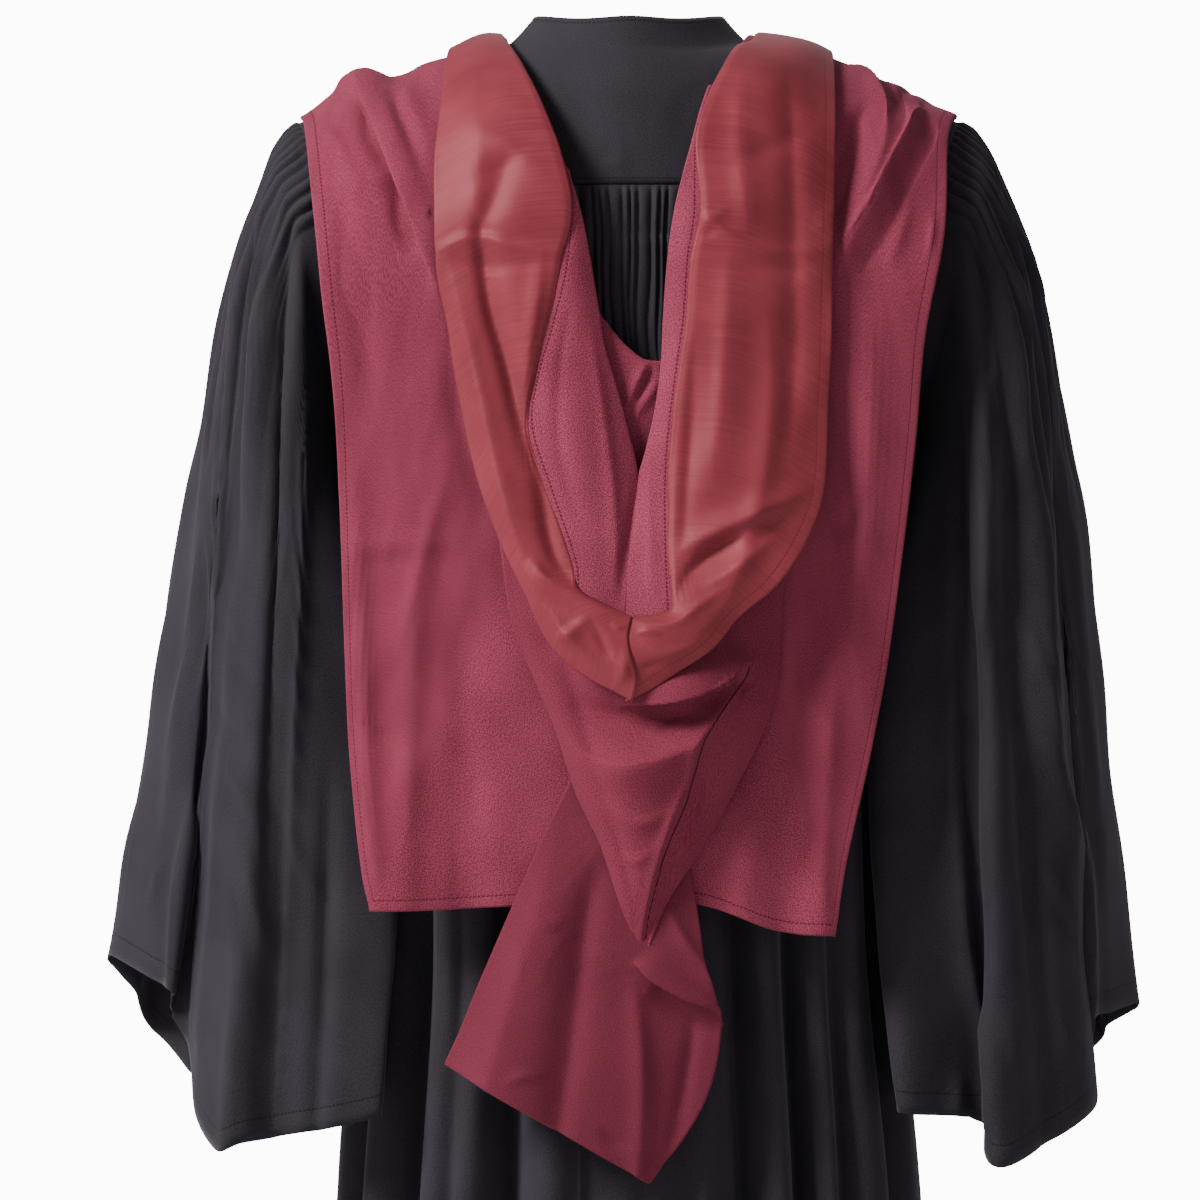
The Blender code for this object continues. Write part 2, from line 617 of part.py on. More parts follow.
def sheet(left, right, belly, rows, columns, folds=()):
    """Surface between two edge curves: straight across at the level of its ends, swelling by the belly between."""
    keys = np.arange(len(left), dtype=float)
    left, right = left.copy(), right.copy()
    for edge in (left, right):
        edge[:, 1] -= shoulder_line(edge[:, 0])
    at = np.linspace(0, len(left) - 1, rows)
    left, right, belly = through(keys, left, at), through(keys, right, at), through(keys, belly, at)
    across = np.linspace(0, 1, columns)[None, :]
    flat = left[:, None] * (1 - across[..., None]) + right[:, None] * across[..., None]
    flat[..., 1] += shoulder_line(flat[..., 0])
    lift = flat[..., 2] + belly[:, None] * np.sin(np.pi * across)
    lift = lift + fold_relief(flat[..., 0], figure(flat[..., 0], flat[..., 1], HOOD_SKIN)[..., 2], folds)
    return figure(flat[..., 0], flat[..., 1], HOOD_SKIN, lift)


BAG_FOLDS = (
    # x, z of one end, x, z of the other end, half width, height (mm)
    (-62, -480, 66, -505, 9, 5),
    (95, -462, 30, -640, 7, 4),
    (82, -462, 12, -645, 5, -4),
)
TAIL_FOLDS = (
    # x, z of one end, x, z of the other end, half width, height (mm)
    (24, -676, 72, -706, 7, 4),
    (-40, -560, -70, -740, 14, 3),
    (10, -690, -14, -810, 12, 3),
)


def hood_piece(name, grid, thickness, material):
    """A wall of hood cloth on the outer side of a surface."""
    out_of = normals(grid)
    if out_of[..., 1].mean() > 0:
        out_of = -out_of
    return cloth(name, grid, grid + out_of * thickness, material)


def cape(material):
    """One cloth from the front of the left shoulder, round the back, to the front of the right shoulder."""
    neck, outer, belly = laid(CAPE)
    over = np.array(CAPE_SHOULDER, float) / 1000
    for side in (-1, 1):
        rows = over if side > 0 else over[::-1]
        ends = np.stack([rows[:, 0] * side, rows[:, 2], np.zeros(len(rows))], axis=-1)
        far = np.stack([rows[:, 1] * side, rows[:, 2], np.zeros(len(rows))], axis=-1)
        flat = np.zeros(len(rows))
        if side < 0:
            neck, outer, belly = np.r_[ends, neck], np.r_[far, outer], np.r_[flat, belly]
        else:
            neck, outer, belly = np.r_[neck, ends], np.r_[outer, far], np.r_[belly, flat]
    grid = sheet(neck, outer, belly, len(neck) * 2 - 1, 9, CAPE_FOLDS)
    grid = grid.transpose(1, 0, 2)
    return hood_piece("hood_cape", grid, HOOD_CLOTH, material)


def satin(name, side, table, material):
    """The facing runs over the shoulder and down its own edge curves to the bottom of the loop."""
    left, right, belly = laid(table)
    over = np.array(SATIN_SHOULDER, float) / 1000
    neck = np.stack([over[:, 0] * side, over[:, 2], over[:, 3]], axis=-1)
    outer = np.stack([over[:, 1] * side, over[:, 2], over[:, 4]], axis=-1)
    if side < 0:
        left, right = np.r_[outer, left], np.r_[neck, right]
    else:
        left, right = np.r_[neck, left], np.r_[outer, right]
    belly = np.r_[over[:, 5], belly]
    grid = sheet(left, right, belly, 27, 7)
    return hood_piece(name, grid, HOOD_CLOTH, material)


def neckband(material):
    """The hood's band hangs in a curve across the front from one shoulder to the other."""
    across = np.linspace(-1, 1, 25)[None, :]
    width = np.linspace(0, 1, 3)[:, None]
    x = 0.106 * across * (1 + 0.16 * width)
    way = -(BAND_REACH - (BAND_REACH - 0.0555) * np.abs(across) ** 1.8) - BAND_WIDTH * width * (1 - 0.97 * across**4)
    grid = figure(x, way, HOOD_SKIN, 0.0022 * across**6)
    out_of = normals(grid)
    if out_of[..., 1].mean() < 0:
        out_of = -out_of
    return cloth("hood_neckband", grid, grid + out_of * HOOD_CLOTH, material)


def main():
    for old in list(bpy.data.objects):
        bpy.data.objects.remove(old)
    black = finish_of("gown_black", (0.012, 0.011, 0.013), 0.85, 0.1)
    maroon = finish_of("hood_maroon", (0.30, 0.045, 0.075), 0.9, 0.2)
    rose = finish_of("hood_satin", (0.40, 0.075, 0.085), 0.45, 0.0)
    yoke(black)
    back(black)
    front("gown_front_right", 1, black)
    front("gown_front_left", -1, black)
    sleeve("gown_sleeve_right", 1, black)
    sleeve("gown_sleeve_left", -1, black)
    cape(maroon)
    for name, table in (("hood_lining_left", LINING_LEFT), ("hood_lining_right", LINING_RIGHT)):
        hood_piece(name, sheet(*laid(table), 18, 6), HOOD_CLOTH, maroon)
    satin("hood_satin_left", -1, SATIN_LEFT, rose)
    satin("hood_satin_right", 1, SATIN_RIGHT, rose)
    hood_piece("hood_bag", sheet(*laid(BAG), 19, 15, BAG_FOLDS), HOOD_CLOTH, maroon)
    hood_piece("hood_tail", sheet(*laid(TAIL), 14, 9, TAIL_FOLDS), HOOD_CLOTH, maroon)
    neckband(maroon)


main()
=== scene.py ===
"""Looks of a graduation gown worn under its hood: black wool with a fluted back, maroon wool and rose satin.

Metres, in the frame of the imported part: +X to the wearer's right, +Y to the wearer's front, +Z up. Tables are in
millimetres. Each piece is one thin sheet of cloth, worked out on a grid and given its thickness by Solidify.
"""

import bpy
import numpy as np
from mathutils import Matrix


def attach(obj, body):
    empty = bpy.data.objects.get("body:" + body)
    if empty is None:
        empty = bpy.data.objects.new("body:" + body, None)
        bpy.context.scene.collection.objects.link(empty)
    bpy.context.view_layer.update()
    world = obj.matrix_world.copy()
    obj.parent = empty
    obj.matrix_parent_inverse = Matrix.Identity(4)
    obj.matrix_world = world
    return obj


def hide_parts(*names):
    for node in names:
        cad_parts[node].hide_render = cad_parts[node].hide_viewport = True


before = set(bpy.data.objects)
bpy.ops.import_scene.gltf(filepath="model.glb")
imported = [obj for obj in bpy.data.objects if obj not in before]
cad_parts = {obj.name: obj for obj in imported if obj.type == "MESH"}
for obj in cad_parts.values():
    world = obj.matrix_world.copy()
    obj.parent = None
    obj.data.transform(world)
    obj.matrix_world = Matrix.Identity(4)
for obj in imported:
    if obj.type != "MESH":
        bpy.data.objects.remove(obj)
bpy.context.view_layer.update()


# The yoke is one flat piece of black wool that lies over the shoulders, doubled and topstitched along its seams.
# Its neck edge stands up a little around the neck.

YOKE_SEAM_Z = -0.103
YOKE_FRONT_REACH = 0.107
FRONT_EDGE_X = 0.085
NECK_SIDE_X = 0.070
NECK_SIDE_WAY = -0.010
NECK_BACK_WAY = 0.080
NECK_STAND = 0.014
GOWN_CLOTH = 0.0015
ARMHOLE_X = 0.200
ARMHOLE_FLARE = 0.044
ARMHOLE_TOP_Z = -0.0505
UNDERARM_Z = -0.280
BACK_DROP = 0.160
CHEST_DROP = 0.150
GOWN_SKIN = {"rise": 0.0, "back": 0.125, "narrowing": 0.25, "chest": 0.100, "lean": 0.0}
YOKE_FOLDS = (
    # x, z, half width on the left or below, half width on the right or above, height (mm)
    ((-20, -95, 2, 2, 0), (-12, -89, 3, 3, 1.6), (-3, -85, 2, 2, 0)),
    ((-9, -65, 2, 2, 0), (-6, -83, 3, 3, 1.2), (-6, -99, 3, 3, 0.8)),
    ((-53, -22, 8, 8, 0), (-36, -43, 9, 9, -1.4), (-22, -79, 8, 8, 0)),
    ((55, -24, 8, 8, 0), (40, -46, 9, 9, -1.3), (30, -79, 8, 8, 0)),
)


def ease(low, high, value):
    """Smooth step: three times the square less twice the cube of the share of the way from low to high."""
    share = np.clip((value - low) / (high - low), 0.0, 1.0)
    return share * share * (3.0 - 2.0 * share)


def through(keys, rows, at):
    """Cubic curve through a table's rows, whose slope at each row comes from the rows beside it."""
    keys, rows = np.asarray(keys, float), np.asarray(rows, float)
    at = np.clip(np.asarray(at, float), keys[0], keys[-1])
    slopes = np.gradient(rows, keys, axis=0)
    left = np.clip(np.searchsorted(keys, at, side="right") - 1, 0, len(keys) - 2)
    step = keys[left + 1] - keys[left]
    t = (at - keys[left]) / step
    shape = t.shape + (1,) * (rows.ndim - 1)
    t, step = t.reshape(shape), step.reshape(shape)
    start = (2 * t**3 - 3 * t**2 + 1) * rows[left] + (t**3 - 2 * t**2 + t) * step * slopes[left]
    end = (3 * t**2 - 2 * t**3) * rows[left + 1] + (t**3 - t**2) * step * slopes[left + 1]
    return start + end


def shoulder_line(x):
    """Height of the shoulder ridge: a slope that is rounded off at the neck."""
    return 0.0415 - 0.375 * np.sqrt(x * x + 0.020**2)


def arc_length(depth, drop):
    """Length of a quarter ellipse: half pi times the root mean square of its half axes."""
    return np.pi / 2 * np.sqrt((depth * depth + drop * drop) / 2)


def back_depth(x, skin=GOWN_SKIN):
    """Depth of the back behind the ridge, which narrows with the square of x."""
    return skin["back"] * (1 - skin["narrowing"] * (x / 0.243) ** 2)


def figure(x, way, skin=GOWN_SKIN, lift=0.0):
    """A quarter ellipse from the ridge down the back (or down the chest, if way is negative), then straight down.

    The lift moves a point out along the ellipse's normal.
    """
    behind = way >= 0
    depth = np.where(behind, back_depth(x, skin), skin["chest"])
    drop = np.where(behind, BACK_DROP, CHEST_DROP)
    length = arc_length(depth, drop)
    turn = np.clip(np.abs(way) / length, 0, 1) * np.pi / 2
    beyond = np.maximum(np.abs(way) - length, 0)
    up, out = np.cos(turn) / drop, np.sin(turn) / depth
    size = np.sqrt(up * up + out * out)
    z = shoulder_line(x) + skin["rise"] - drop * (1 - np.cos(turn)) - beyond + lift * up / size
    y = np.where(behind, -1, 1) * (depth * np.sin(turn) + skin["lean"] * beyond + lift * out / size)
    return np.stack([x, y, z], axis=-1)


def way_down(x, z, skin=GOWN_SKIN):
    """The way down the back at which the figure is at height z: the ellipse's turn times its length."""
    depth = back_depth(x, skin)
    fall = np.clip(shoulder_line(x) + skin["rise"] - z, 0, None)
    turn = np.arccos(np.clip(1 - fall / BACK_DROP, 0, 1))
    return turn / (np.pi / 2) * arc_length(depth, BACK_DROP) + np.maximum(fall - BACK_DROP, 0)


def way_front(x, z):
    """The same down the chest."""
    fall = np.clip(shoulder_line(x) - z, 0, None)
    turn = np.arccos(np.clip(1 - fall / CHEST_DROP, 0, 1))
    return turn / (np.pi / 2) * arc_length(GOWN_SKIN["chest"], CHEST_DROP)


ARMHOLE_HEIGHT = (ARMHOLE_TOP_Z - UNDERARM_Z) / 2
ARMHOLE_CORNER = float(np.arccos((YOKE_SEAM_Z - UNDERARM_Z) / ARMHOLE_HEIGHT - 1))


def armhole(turn):
    """The armhole seam: z goes with the cosine of the turn, x flares to the shoulder, y closes to the underarm."""
    turn = np.asarray(turn, float)
    x = ARMHOLE_X + ARMHOLE_FLARE * ((1 + np.cos(turn)) / 2) ** 2
    z = UNDERARM_Z + ARMHOLE_HEIGHT * (1 + np.cos(turn))
    fall = np.clip(shoulder_line(x) - z, 0, None)
    back = back_depth(x) * np.sqrt(1 - (1 - np.clip(fall / BACK_DROP, 0, 1)) ** 2)
    chest = GOWN_SKIN["chest"] * np.sqrt(1 - (1 - np.clip(fall / CHEST_DROP, 0, 1)) ** 2)
    close = np.sqrt(np.clip((1 + np.cos(turn)) / (1 + np.cos(ARMHOLE_CORNER)), 0, 1))
    y = np.where(turn >= 0, -back, chest) * np.where(np.abs(turn) > ARMHOLE_CORNER, close, 1)
    return np.stack([x, y, z], axis=-1)


def armhole_front_turn():
    """The turn at which the armhole reaches the yoke's front seam."""
    turns = np.linspace(0.2, 1.6, 400)
    points = armhole(-turns)
    return float(turns[np.argmin(np.abs(way_front(points[:, 0], points[:, 2]) - YOKE_FRONT_REACH))])


def beside(x, z, rows):
    """The points near a smooth line through the rows, the line's values at its nearest place, and the offset from it.

    The offset is negative on the left of a line drawn downwards, as seen from behind, or below one drawn to the right.
    """
    rows = np.array(rows, float) / 1000
    line = through(np.arange(len(rows)), rows, np.linspace(0, len(rows) - 1, 14 * (len(rows) - 1) + 1))
    tangent = np.gradient(line[:, :2], axis=0)
    tangent /= np.linalg.norm(tangent, axis=1, keepdims=True)
    reach = 2.6 * rows[:, 2:4].max()
    low, high = line[:, :2].min(axis=0) - reach, line[:, :2].max(axis=0) + reach
    near = (x > low[0]) & (x < high[0]) & (z > low[1]) & (z < high[1])
    dx, dz = x[near][:, None] - line[:, 0], z[near][:, None] - line[:, 1]
    at = np.argmin(dx * dx + dz * dz, axis=1)
    dx, dz = dx[np.arange(len(at)), at], dz[np.arange(len(at)), at]
    side = np.sign(tangent[at, 0] * dz - tangent[at, 1] * dx)
    return near, line[at], side * np.hypot(dx, dz), tangent[at]


def folds(x, z, table):
    """Folds laid along lines drawn over the cloth as seen from behind: ridges, or furrows if negative.

    A line's rows are x, z, two half widths and a height in millimetres. The height at a point is the line's, times
    the exponential of less the offset over the half width on that side, to the power 1.7.
    """
    height = np.zeros(x.shape)
    for rows in table:
        near, line, offset, _ = beside(x, z, rows)
        width = np.where(offset < 0, line[:, 2], line[:, 3])
        height[near] += line[:, 4] * np.exp(-((np.abs(offset) / width) ** 1.7))
    return height


def laps(x, z, table):
    """Shifts in x and z that push a steep fold over its own valley, so that it overlaps like lapped cloth.

    The shift runs across the line: the lap times t times the exponential of half less half the square of t, where t
    is the offset from the middle of the wall over its width. The rows are x, z, two equal widths and the lap.
    """
    shift = np.zeros((2, *x.shape))
    for rows in table:
        near, line, offset, tangent = beside(x, z, rows)
        t = offset / line[:, 2]
        across = -line[:, 4] * t * np.exp(0.5 - 0.5 * t * t)
        shift[0][near] -= across * tangent[:, 1]
        shift[1][near] += across * tangent[:, 0]
    return shift


def rumple(u, v, seed, amount):
    """Low, uneven swell of worn cloth: a few crossed sine waves whose pitch and phase come from a seeded draw."""
    draw = np.random.default_rng(seed)
    height = np.zeros(np.broadcast(u, v).shape)
    for _ in range(9):
        pitch = draw.uniform(0.045, 0.16)
        angle = draw.uniform(0, np.pi)
        phase = draw.uniform(0, 2 * np.pi)
        height += np.sin((u * np.cos(angle) + v * np.sin(angle)) * 2 * np.pi / pitch + phase) * pitch
    return height * amount / 0.25


def outward(grid, ring=False):
    """Unit normals of a grid: the cross product of the way down its rows and the way along its columns."""
    along = np.roll(grid, -1, axis=1) - np.roll(grid, 1, axis=1) if ring else np.gradient(grid, axis=1)
    normal = np.cross(np.gradient(grid, axis=0), along)
    return normal / np.maximum(np.linalg.norm(normal, axis=-1, keepdims=True), 1e-9)


def lengths(grid, axis):
    """Distance in metres along the rows or columns of a grid, from its first point."""
    step = np.linalg.norm(np.diff(grid, axis=axis), axis=-1)
    start = np.zeros_like(np.take(step, [0], axis=axis))
    return np.concatenate([start, np.cumsum(step, axis=axis)], axis=axis)


def cloth_piece(name, grid, material, thickness, ring=False, inside_out=False, hem=None, run=None):
    """One sheet over a grid of points, with the cloth's own lengths in metres as its UV map.

    The attributes hem and run hold the distance from the stitched edge and the distance along it.
    """
    rows, columns = grid.shape[:2]
    index = np.arange(rows * columns).reshape(rows, columns)
    closed = np.concatenate([grid, grid[:, :1]], axis=1) if ring else grid
    if ring:
        index = np.concatenate([index, index[:, :1]], axis=1)
    corner = np.arange(closed.shape[0] * closed.shape[1]).reshape(closed.shape[:2])
    order = [(0, 0), (1, 0), (1, 1), (0, 1)] if not inside_out else [(0, 0), (0, 1), (1, 1), (1, 0)]
    height, width = index.shape[0] - 1, index.shape[1] - 1
    faces = np.stack([index[r : r + height, c : c + width] for r, c in order], axis=-1).reshape(-1, 4)
    loops = np.stack([corner[r : r + height, c : c + width] for r, c in order], axis=-1).ravel()
    mesh = bpy.data.meshes.new(name)
    mesh.from_pydata(grid.reshape(-1, 3), [], faces)
    across, down = lengths(closed, 1), lengths(closed, 0)
    across = across - across[:, across.shape[1] // 2][:, None]
    uv = np.stack([across, -down], axis=-1).reshape(-1, 2)[loops]
    mesh.uv_layers.new(name="cloth").data.foreach_set("uv", uv.astype(np.float32).ravel())
    for title, values in (("hem", hem), ("run", run)):
        values = np.full(grid.shape[:2], 1.0) if values is None else np.broadcast_to(values, grid.shape[:2])
        mesh.attributes.new(title, "FLOAT", "POINT").data.foreach_set("value", values.astype(np.float32).ravel())
    mesh.shade_smooth()
    mesh.materials.append(material)
    piece = bpy.data.objects.new(name, mesh)
    bpy.context.scene.collection.objects.link(piece)
    solid = piece.modifiers.new("thickness", "SOLIDIFY")
    solid.thickness = thickness
    solid.offset = -1.0
    return piece


def cloth_finish(
    name, deep, pale, roughness, weave_mm, grain, relief, thread, stitch_at=None, sheen=0.0, tint=None, gloss=0.25, slub=0.0
):
    """Woven cloth: a twill of two crossed bands, a speckle of the yarn and a slow drift of tone, all in millimetres.

    A stitched line lies where the hem attribute equals stitch_at, broken into stitches by the run attribute. Slubs
    are long weft streaks across the cloth.
    """
    material = bpy.data.materials.new(name)
    material.use_nodes = True
    tree = material.node_tree
    nodes, link = tree.nodes, tree.links.new
    shader = nodes["Principled BSDF"]
    shader.inputs["Metallic"].default_value = 0.0
    shader.inputs["Specular IOR Level"].default_value = gloss
    shader.inputs["Sheen Weight"].default_value = sheen
    shader.inputs["Sheen Roughness"].default_value = 0.45
    if tint:
        shader.inputs["Sheen Tint"].default_value = (*tint, 1.0)
        shader.inputs["Specular Tint"].default_value = (*tint, 1.0)

    def node(kind, **settings):
        made = nodes.new(kind)
        for key, value in settings.items():
            setattr(made, key, value)
        return made

    def sum_of(first, second, operation="ADD", factor=None):
        made = node("ShaderNodeMath", operation=operation)
        for socket, value in zip(made.inputs, (first, second, factor)):
            if isinstance(value, (int, float)):
                socket.default_value = value
            elif value is not None:
                link(value, socket)
        return made.outputs[0]

    place = node("ShaderNodeUVMap", uv_map="cloth")
    scale = node("ShaderNodeMapping")
    scale.inputs["Scale"].default_value = (1000, 1000, 1000)
    link(place.outputs["UV"], scale.inputs["Vector"])
    bands = []
    for direction in ("X", "Y"):
        band = node("ShaderNodeTexWave", wave_type="BANDS", bands_direction=direction, wave_profile="SIN")
        band.inputs["Scale"].default_value = 0.314 / weave_mm
        band.inputs["Distortion"].default_value = 1.2
        band.inputs["Detail"].default_value = 2.0
        band.inputs["Detail Scale"].default_value = 0.6
        link(scale.outputs[0], band.inputs["Vector"])
        bands.append(band.outputs["Fac"])
    weave = sum_of(bands[0], bands[1], "MULTIPLY")
    yarn = node("ShaderNodeTexNoise", noise_dimensions="2D")
    yarn.inputs["Scale"].default_value = 0.80 / weave_mm
    yarn.inputs["Detail"].default_value = 3.0
    yarn.inputs["Roughness"].default_value = 0.65
    link(scale.outputs[0], yarn.inputs["Vector"])
    drift = node("ShaderNodeTexNoise", noise_dimensions="2D")
    drift.inputs["Scale"].default_value = 0.016
    drift.inputs["Detail"].default_value = 4.0
    link(scale.outputs[0], drift.inputs["Vector"])
    tone = sum_of(sum_of(yarn.outputs["Fac"], grain * 2.2, "MULTIPLY"), sum_of(weave, grain * 0.4, "MULTIPLY"))
    tone = sum_of(tone, sum_of(drift.outputs["Fac"], 0.5, "MULTIPLY"))
    tone = sum_of(tone, 0.25 - 1.2 * grain)
    surface = sum_of(sum_of(weave, 0.6, "MULTIPLY"), sum_of(yarn.outputs["Fac"], 0.9, "MULTIPLY"))
    if slub:
        stretch = node("ShaderNodeMapping")
        stretch.inputs["Scale"].default_value = (12, 1100, 1)
        link(place.outputs["UV"], stretch.inputs["Vector"])
        weft = node("ShaderNodeTexNoise", noise_dimensions="2D")
        weft.inputs["Scale"].default_value = 1.0
        weft.inputs["Detail"].default_value = 5.0
        weft.inputs["Roughness"].default_value = 0.7
        link(stretch.outputs[0], weft.inputs["Vector"])
        streak = sum_of(sum_of(weft.outputs["Fac"], 0.5, "SUBTRACT"), slub, "MULTIPLY")
        tone = sum_of(tone, streak)
        surface = sum_of(surface, streak)
    shade = node("ShaderNodeValToRGB")
    shade.color_ramp.elements[0].color = (*deep, 1.0)
    shade.color_ramp.elements[1].color = (*pale, 1.0)
    shade.color_ramp.elements[0].position = 0.15
    shade.color_ramp.elements[1].position = 0.85
    link(tone, shade.inputs["Fac"])
    colour = shade.outputs["Color"]
    if stitch_at is not None:
        hem = node("ShaderNodeAttribute", attribute_name="hem").outputs["Fac"]
        run = node("ShaderNodeAttribute", attribute_name="run").outputs["Fac"]
        away = sum_of(sum_of(hem, stitch_at, "SUBTRACT"), 1000.0, "MULTIPLY")
        away = sum_of(away, None, "ABSOLUTE")
        line = sum_of(sum_of(0.9, away, "SUBTRACT"), 1.6, "MULTIPLY")
        line = sum_of(sum_of(line, 0.0, "MAXIMUM"), 1.0, "MINIMUM")
        beat = sum_of(sum_of(run, 320.0, "MULTIPLY"), None, "FRACT")
        dash = sum_of(beat, 0.68, "LESS_THAN")
        stitch = sum_of(line, dash, "MULTIPLY")
        sewn = node("ShaderNodeMix", data_type="RGBA")
        link(stitch, sewn.inputs["Factor"])
        link(colour, sewn.inputs[6])
        sewn.inputs[7].default_value = (*thread, 1.0)
        colour = sewn.outputs[2]
        groove = sum_of(sum_of(2.6, away, "SUBTRACT"), 0.6, "MULTIPLY")
        groove = sum_of(sum_of(groove, 0.0, "MAXIMUM"), 1.5, "MINIMUM")
        surface = sum_of(surface, groove, "SUBTRACT")
        surface = sum_of(surface, sum_of(stitch, 1.2, "MULTIPLY"))
    link(colour, shader.inputs["Base Color"])
    rough = sum_of(sum_of(yarn.outputs["Fac"], 0.18, "MULTIPLY"), roughness - 0.09)
    link(rough, shader.inputs["Roughness"])
    bump = node("ShaderNodeBump")
    bump.inputs["Strength"].default_value = relief
    bump.inputs["Distance"].default_value = 0.0004
    link(surface, bump.inputs["Height"])
    link(bump.outputs["Normal"], shader.inputs["Normal"])
    return material


BLACK_DEEP = (0.0082, 0.0068, 0.0090)
BLACK_PALE = (0.0280, 0.0232, 0.0300)
BLACK_THREAD = (0.004, 0.004, 0.004)


def gown_wool(name, stitch_at=None):
    """Black wool: nearly plain, with a faint warm speckle and a soft bloom of fibre."""
    return cloth_finish(
        name, BLACK_DEEP, BLACK_PALE, 0.82, 0.9, 0.8, 0.22, BLACK_THREAD, stitch_at, sheen=0.10, tint=(0.86, 0.77, 0.90)
    )


def yoke_grid(half_columns, rows):
    """Rings from the standing neck edge out to the seams, mirrored from the right half to the left."""
    split, corner = 0.35, 0.45
    shares = np.concatenate([np.linspace(0, corner, half_columns // 2)[:-1], np.linspace(corner, 1, half_columns // 2)])
    front = shares < split
    reach = np.clip(shares / split, 0, 1)
    quarter = np.clip((shares - split) / (1 - split), 0, 1) * np.pi / 2
    neck_x = np.where(front, FRONT_EDGE_X + (NECK_SIDE_X - FRONT_EDGE_X) * reach, NECK_SIDE_X * np.cos(quarter))
    neck_way = np.where(
        front,
        -YOKE_FRONT_REACH + reach * (YOKE_FRONT_REACH + NECK_SIDE_WAY),
        NECK_SIDE_WAY + (NECK_BACK_WAY - NECK_SIDE_WAY) * np.sin(quarter),
    )
    front_turn = -armhole_front_turn()
    seam = armhole(front_turn + (ARMHOLE_CORNER - front_turn) * np.clip(shares / corner, 0, 1))
    seam_way = np.where(seam[:, 1] < 0, way_down(seam[:, 0], seam[:, 2]), -way_front(seam[:, 0], seam[:, 2]))
    back_x = armhole(ARMHOLE_CORNER)[0] * (1 - (shares - corner) / (1 - corner))
    sewn = shares <= corner
    edge_x = np.where(sewn, seam[:, 0], back_x)
    edge_way = np.where(sewn, seam_way, way_down(back_x, YOKE_SEAM_Z))
    out = np.linspace(0, 1, rows)[:, None] ** 1.15
    x = neck_x * (1 - out) + edge_x * out
    way = neck_way * (1 - out) + edge_way * out
    right = figure(x, way)
    stand = ease(0, split, shares)[None] * np.clip(1 - out / 0.12, 0, 1) ** 1.3
    right[..., 2] += NECK_STAND * stand
    left = right[:, :-1] * np.array([-1, 1, 1])
    return np.concatenate([left, right[:, ::-1]], axis=1), out


yoke_points, yoke_out = yoke_grid(96, 44)
yoke_lift = GOWN_CLOTH + 0.0004
yoke_lift = yoke_lift + folds(yoke_points[..., 0], yoke_points[..., 2], YOKE_FOLDS) * (yoke_points[..., 1] < 0)
yoke_lift = yoke_lift + rumple(yoke_points[..., 0], yoke_points[..., 2], 3, 0.0005) * np.sin(np.pi * yoke_out)
yoke_points = yoke_points + outward(yoke_points) * yoke_lift[..., None]
yoke_down = lengths(yoke_points, 0)
yoke_seam = np.minimum(yoke_down[-1:] - yoke_down, yoke_down)
yoke = cloth_piece(
    "yoke", yoke_points, gown_wool("yoke_wool", 0.004), GOWN_CLOTH, hem=yoke_seam, run=lengths(yoke_points, 1)
)
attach(yoke, "root")
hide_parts("gown_yoke")


# The back is one wide panel of the same wool, gathered in narrow flutes into the yoke's seam. Lower down the flutes
# run together into pipe folds that hang free to a turned and stitched hem.

HEM_Z = -1.150
SEAM_GAP = 0.0004
SEAM_ALLOWANCE = 0.003
ARMHOLE_SEAM = 0.0012
SIDE_SQUARENESS = 0.85
BACK_SQUARENESS = 0.80
FLUTES = 62
FLUTE_DEPTH = 0.0048
BODY_SECTIONS = (
    # z, half_width, back_depth, front_depth
    (-0.100, 0.223, 0.124, 0.098),
    (-0.280, 0.190, 0.124, 0.104),
    (-0.400, 0.186, 0.124, 0.108),
    (-0.520, 0.188, 0.124, 0.112),
    (-0.650, 0.196, 0.128, 0.116),
    (-0.830, 0.214, 0.137, 0.126),
    (-1.150, 0.228, 0.158, 0.138),
)
BACK_PIPES = (
    # turn from the centre back (degrees), half_width, depth, start_z, drift (degrees)
    (-73, 5.0, 0.022, -0.40, 1.2),
    (-51, 6.0, 0.034, -0.30, -1.0),
    (-35, 3.0, 0.010, -0.42, 0.8),
    (-22, 4.5, 0.034, -0.30, 0.6),
    (-7, 4.0, 0.014, -0.36, -1.4),
    (6, 3.5, 0.010, -0.42, 1.0),
    (19.5, 4.0, 0.034, -0.30, -0.6),
    (33.5, 3.5, 0.036, -0.30, 0.8),
    (47, 3.5, 0.020, -0.34, -1.2),
    (66, 5.0, 0.026, -0.38, 1.0),
)
BACK_FOLDS = (
    # x, z, half width on the left or below, half width on the right or above, height (mm)
    ((-37, -546, 4, 4, 0), (-37, -640, 4, 5, 2.2), (-37, -761, 3, 6, 3.2), (-38, -1000, 4, 7, 2.6), (-40, -1150, 4, 7, 2)),
    ((162, -561, 4, 4, 0), (163, -618, 4, 6, 2.6), (162, -761, 4, 6, 3.2), (168, -1010, 5, 7, 2.4), (172, -1150, 5, 8, 2)),
    ((-133, -589, 7, 7, 0), (-128, -690, 8, 6, 3), (-125, -819, 9, 6, 3.4), (-134, -1150, 9, 7, 3)),
    ((-168, -754, 3, 3, 0), (-173, -790, 3, 4, 2), (-178, -833, 3, 5, 2.4), (-186, -1000, 4, 6, 1.5), (-190, -1120, 4, 6, 0)),
    ((7, -582, 8, 8, 0), (13, -690, 8, 8, -2.6), (10, -819, 8, 8, -3.2), (8, -1150, 8, 8, -3)),
    ((50, -575, 8, 8, 0), (53, -697, 9, 6, 2.4), (56, -826, 9, 6, 3), (60, -1150, 9, 7, 3)),
)


def section_at(z):
    """Half width, back depth and front depth of the gown's body at height z, from its table."""
    table = np.array(BODY_SECTIONS)[::-1]
    return through(table[:, 0], table[:, 1:], z)


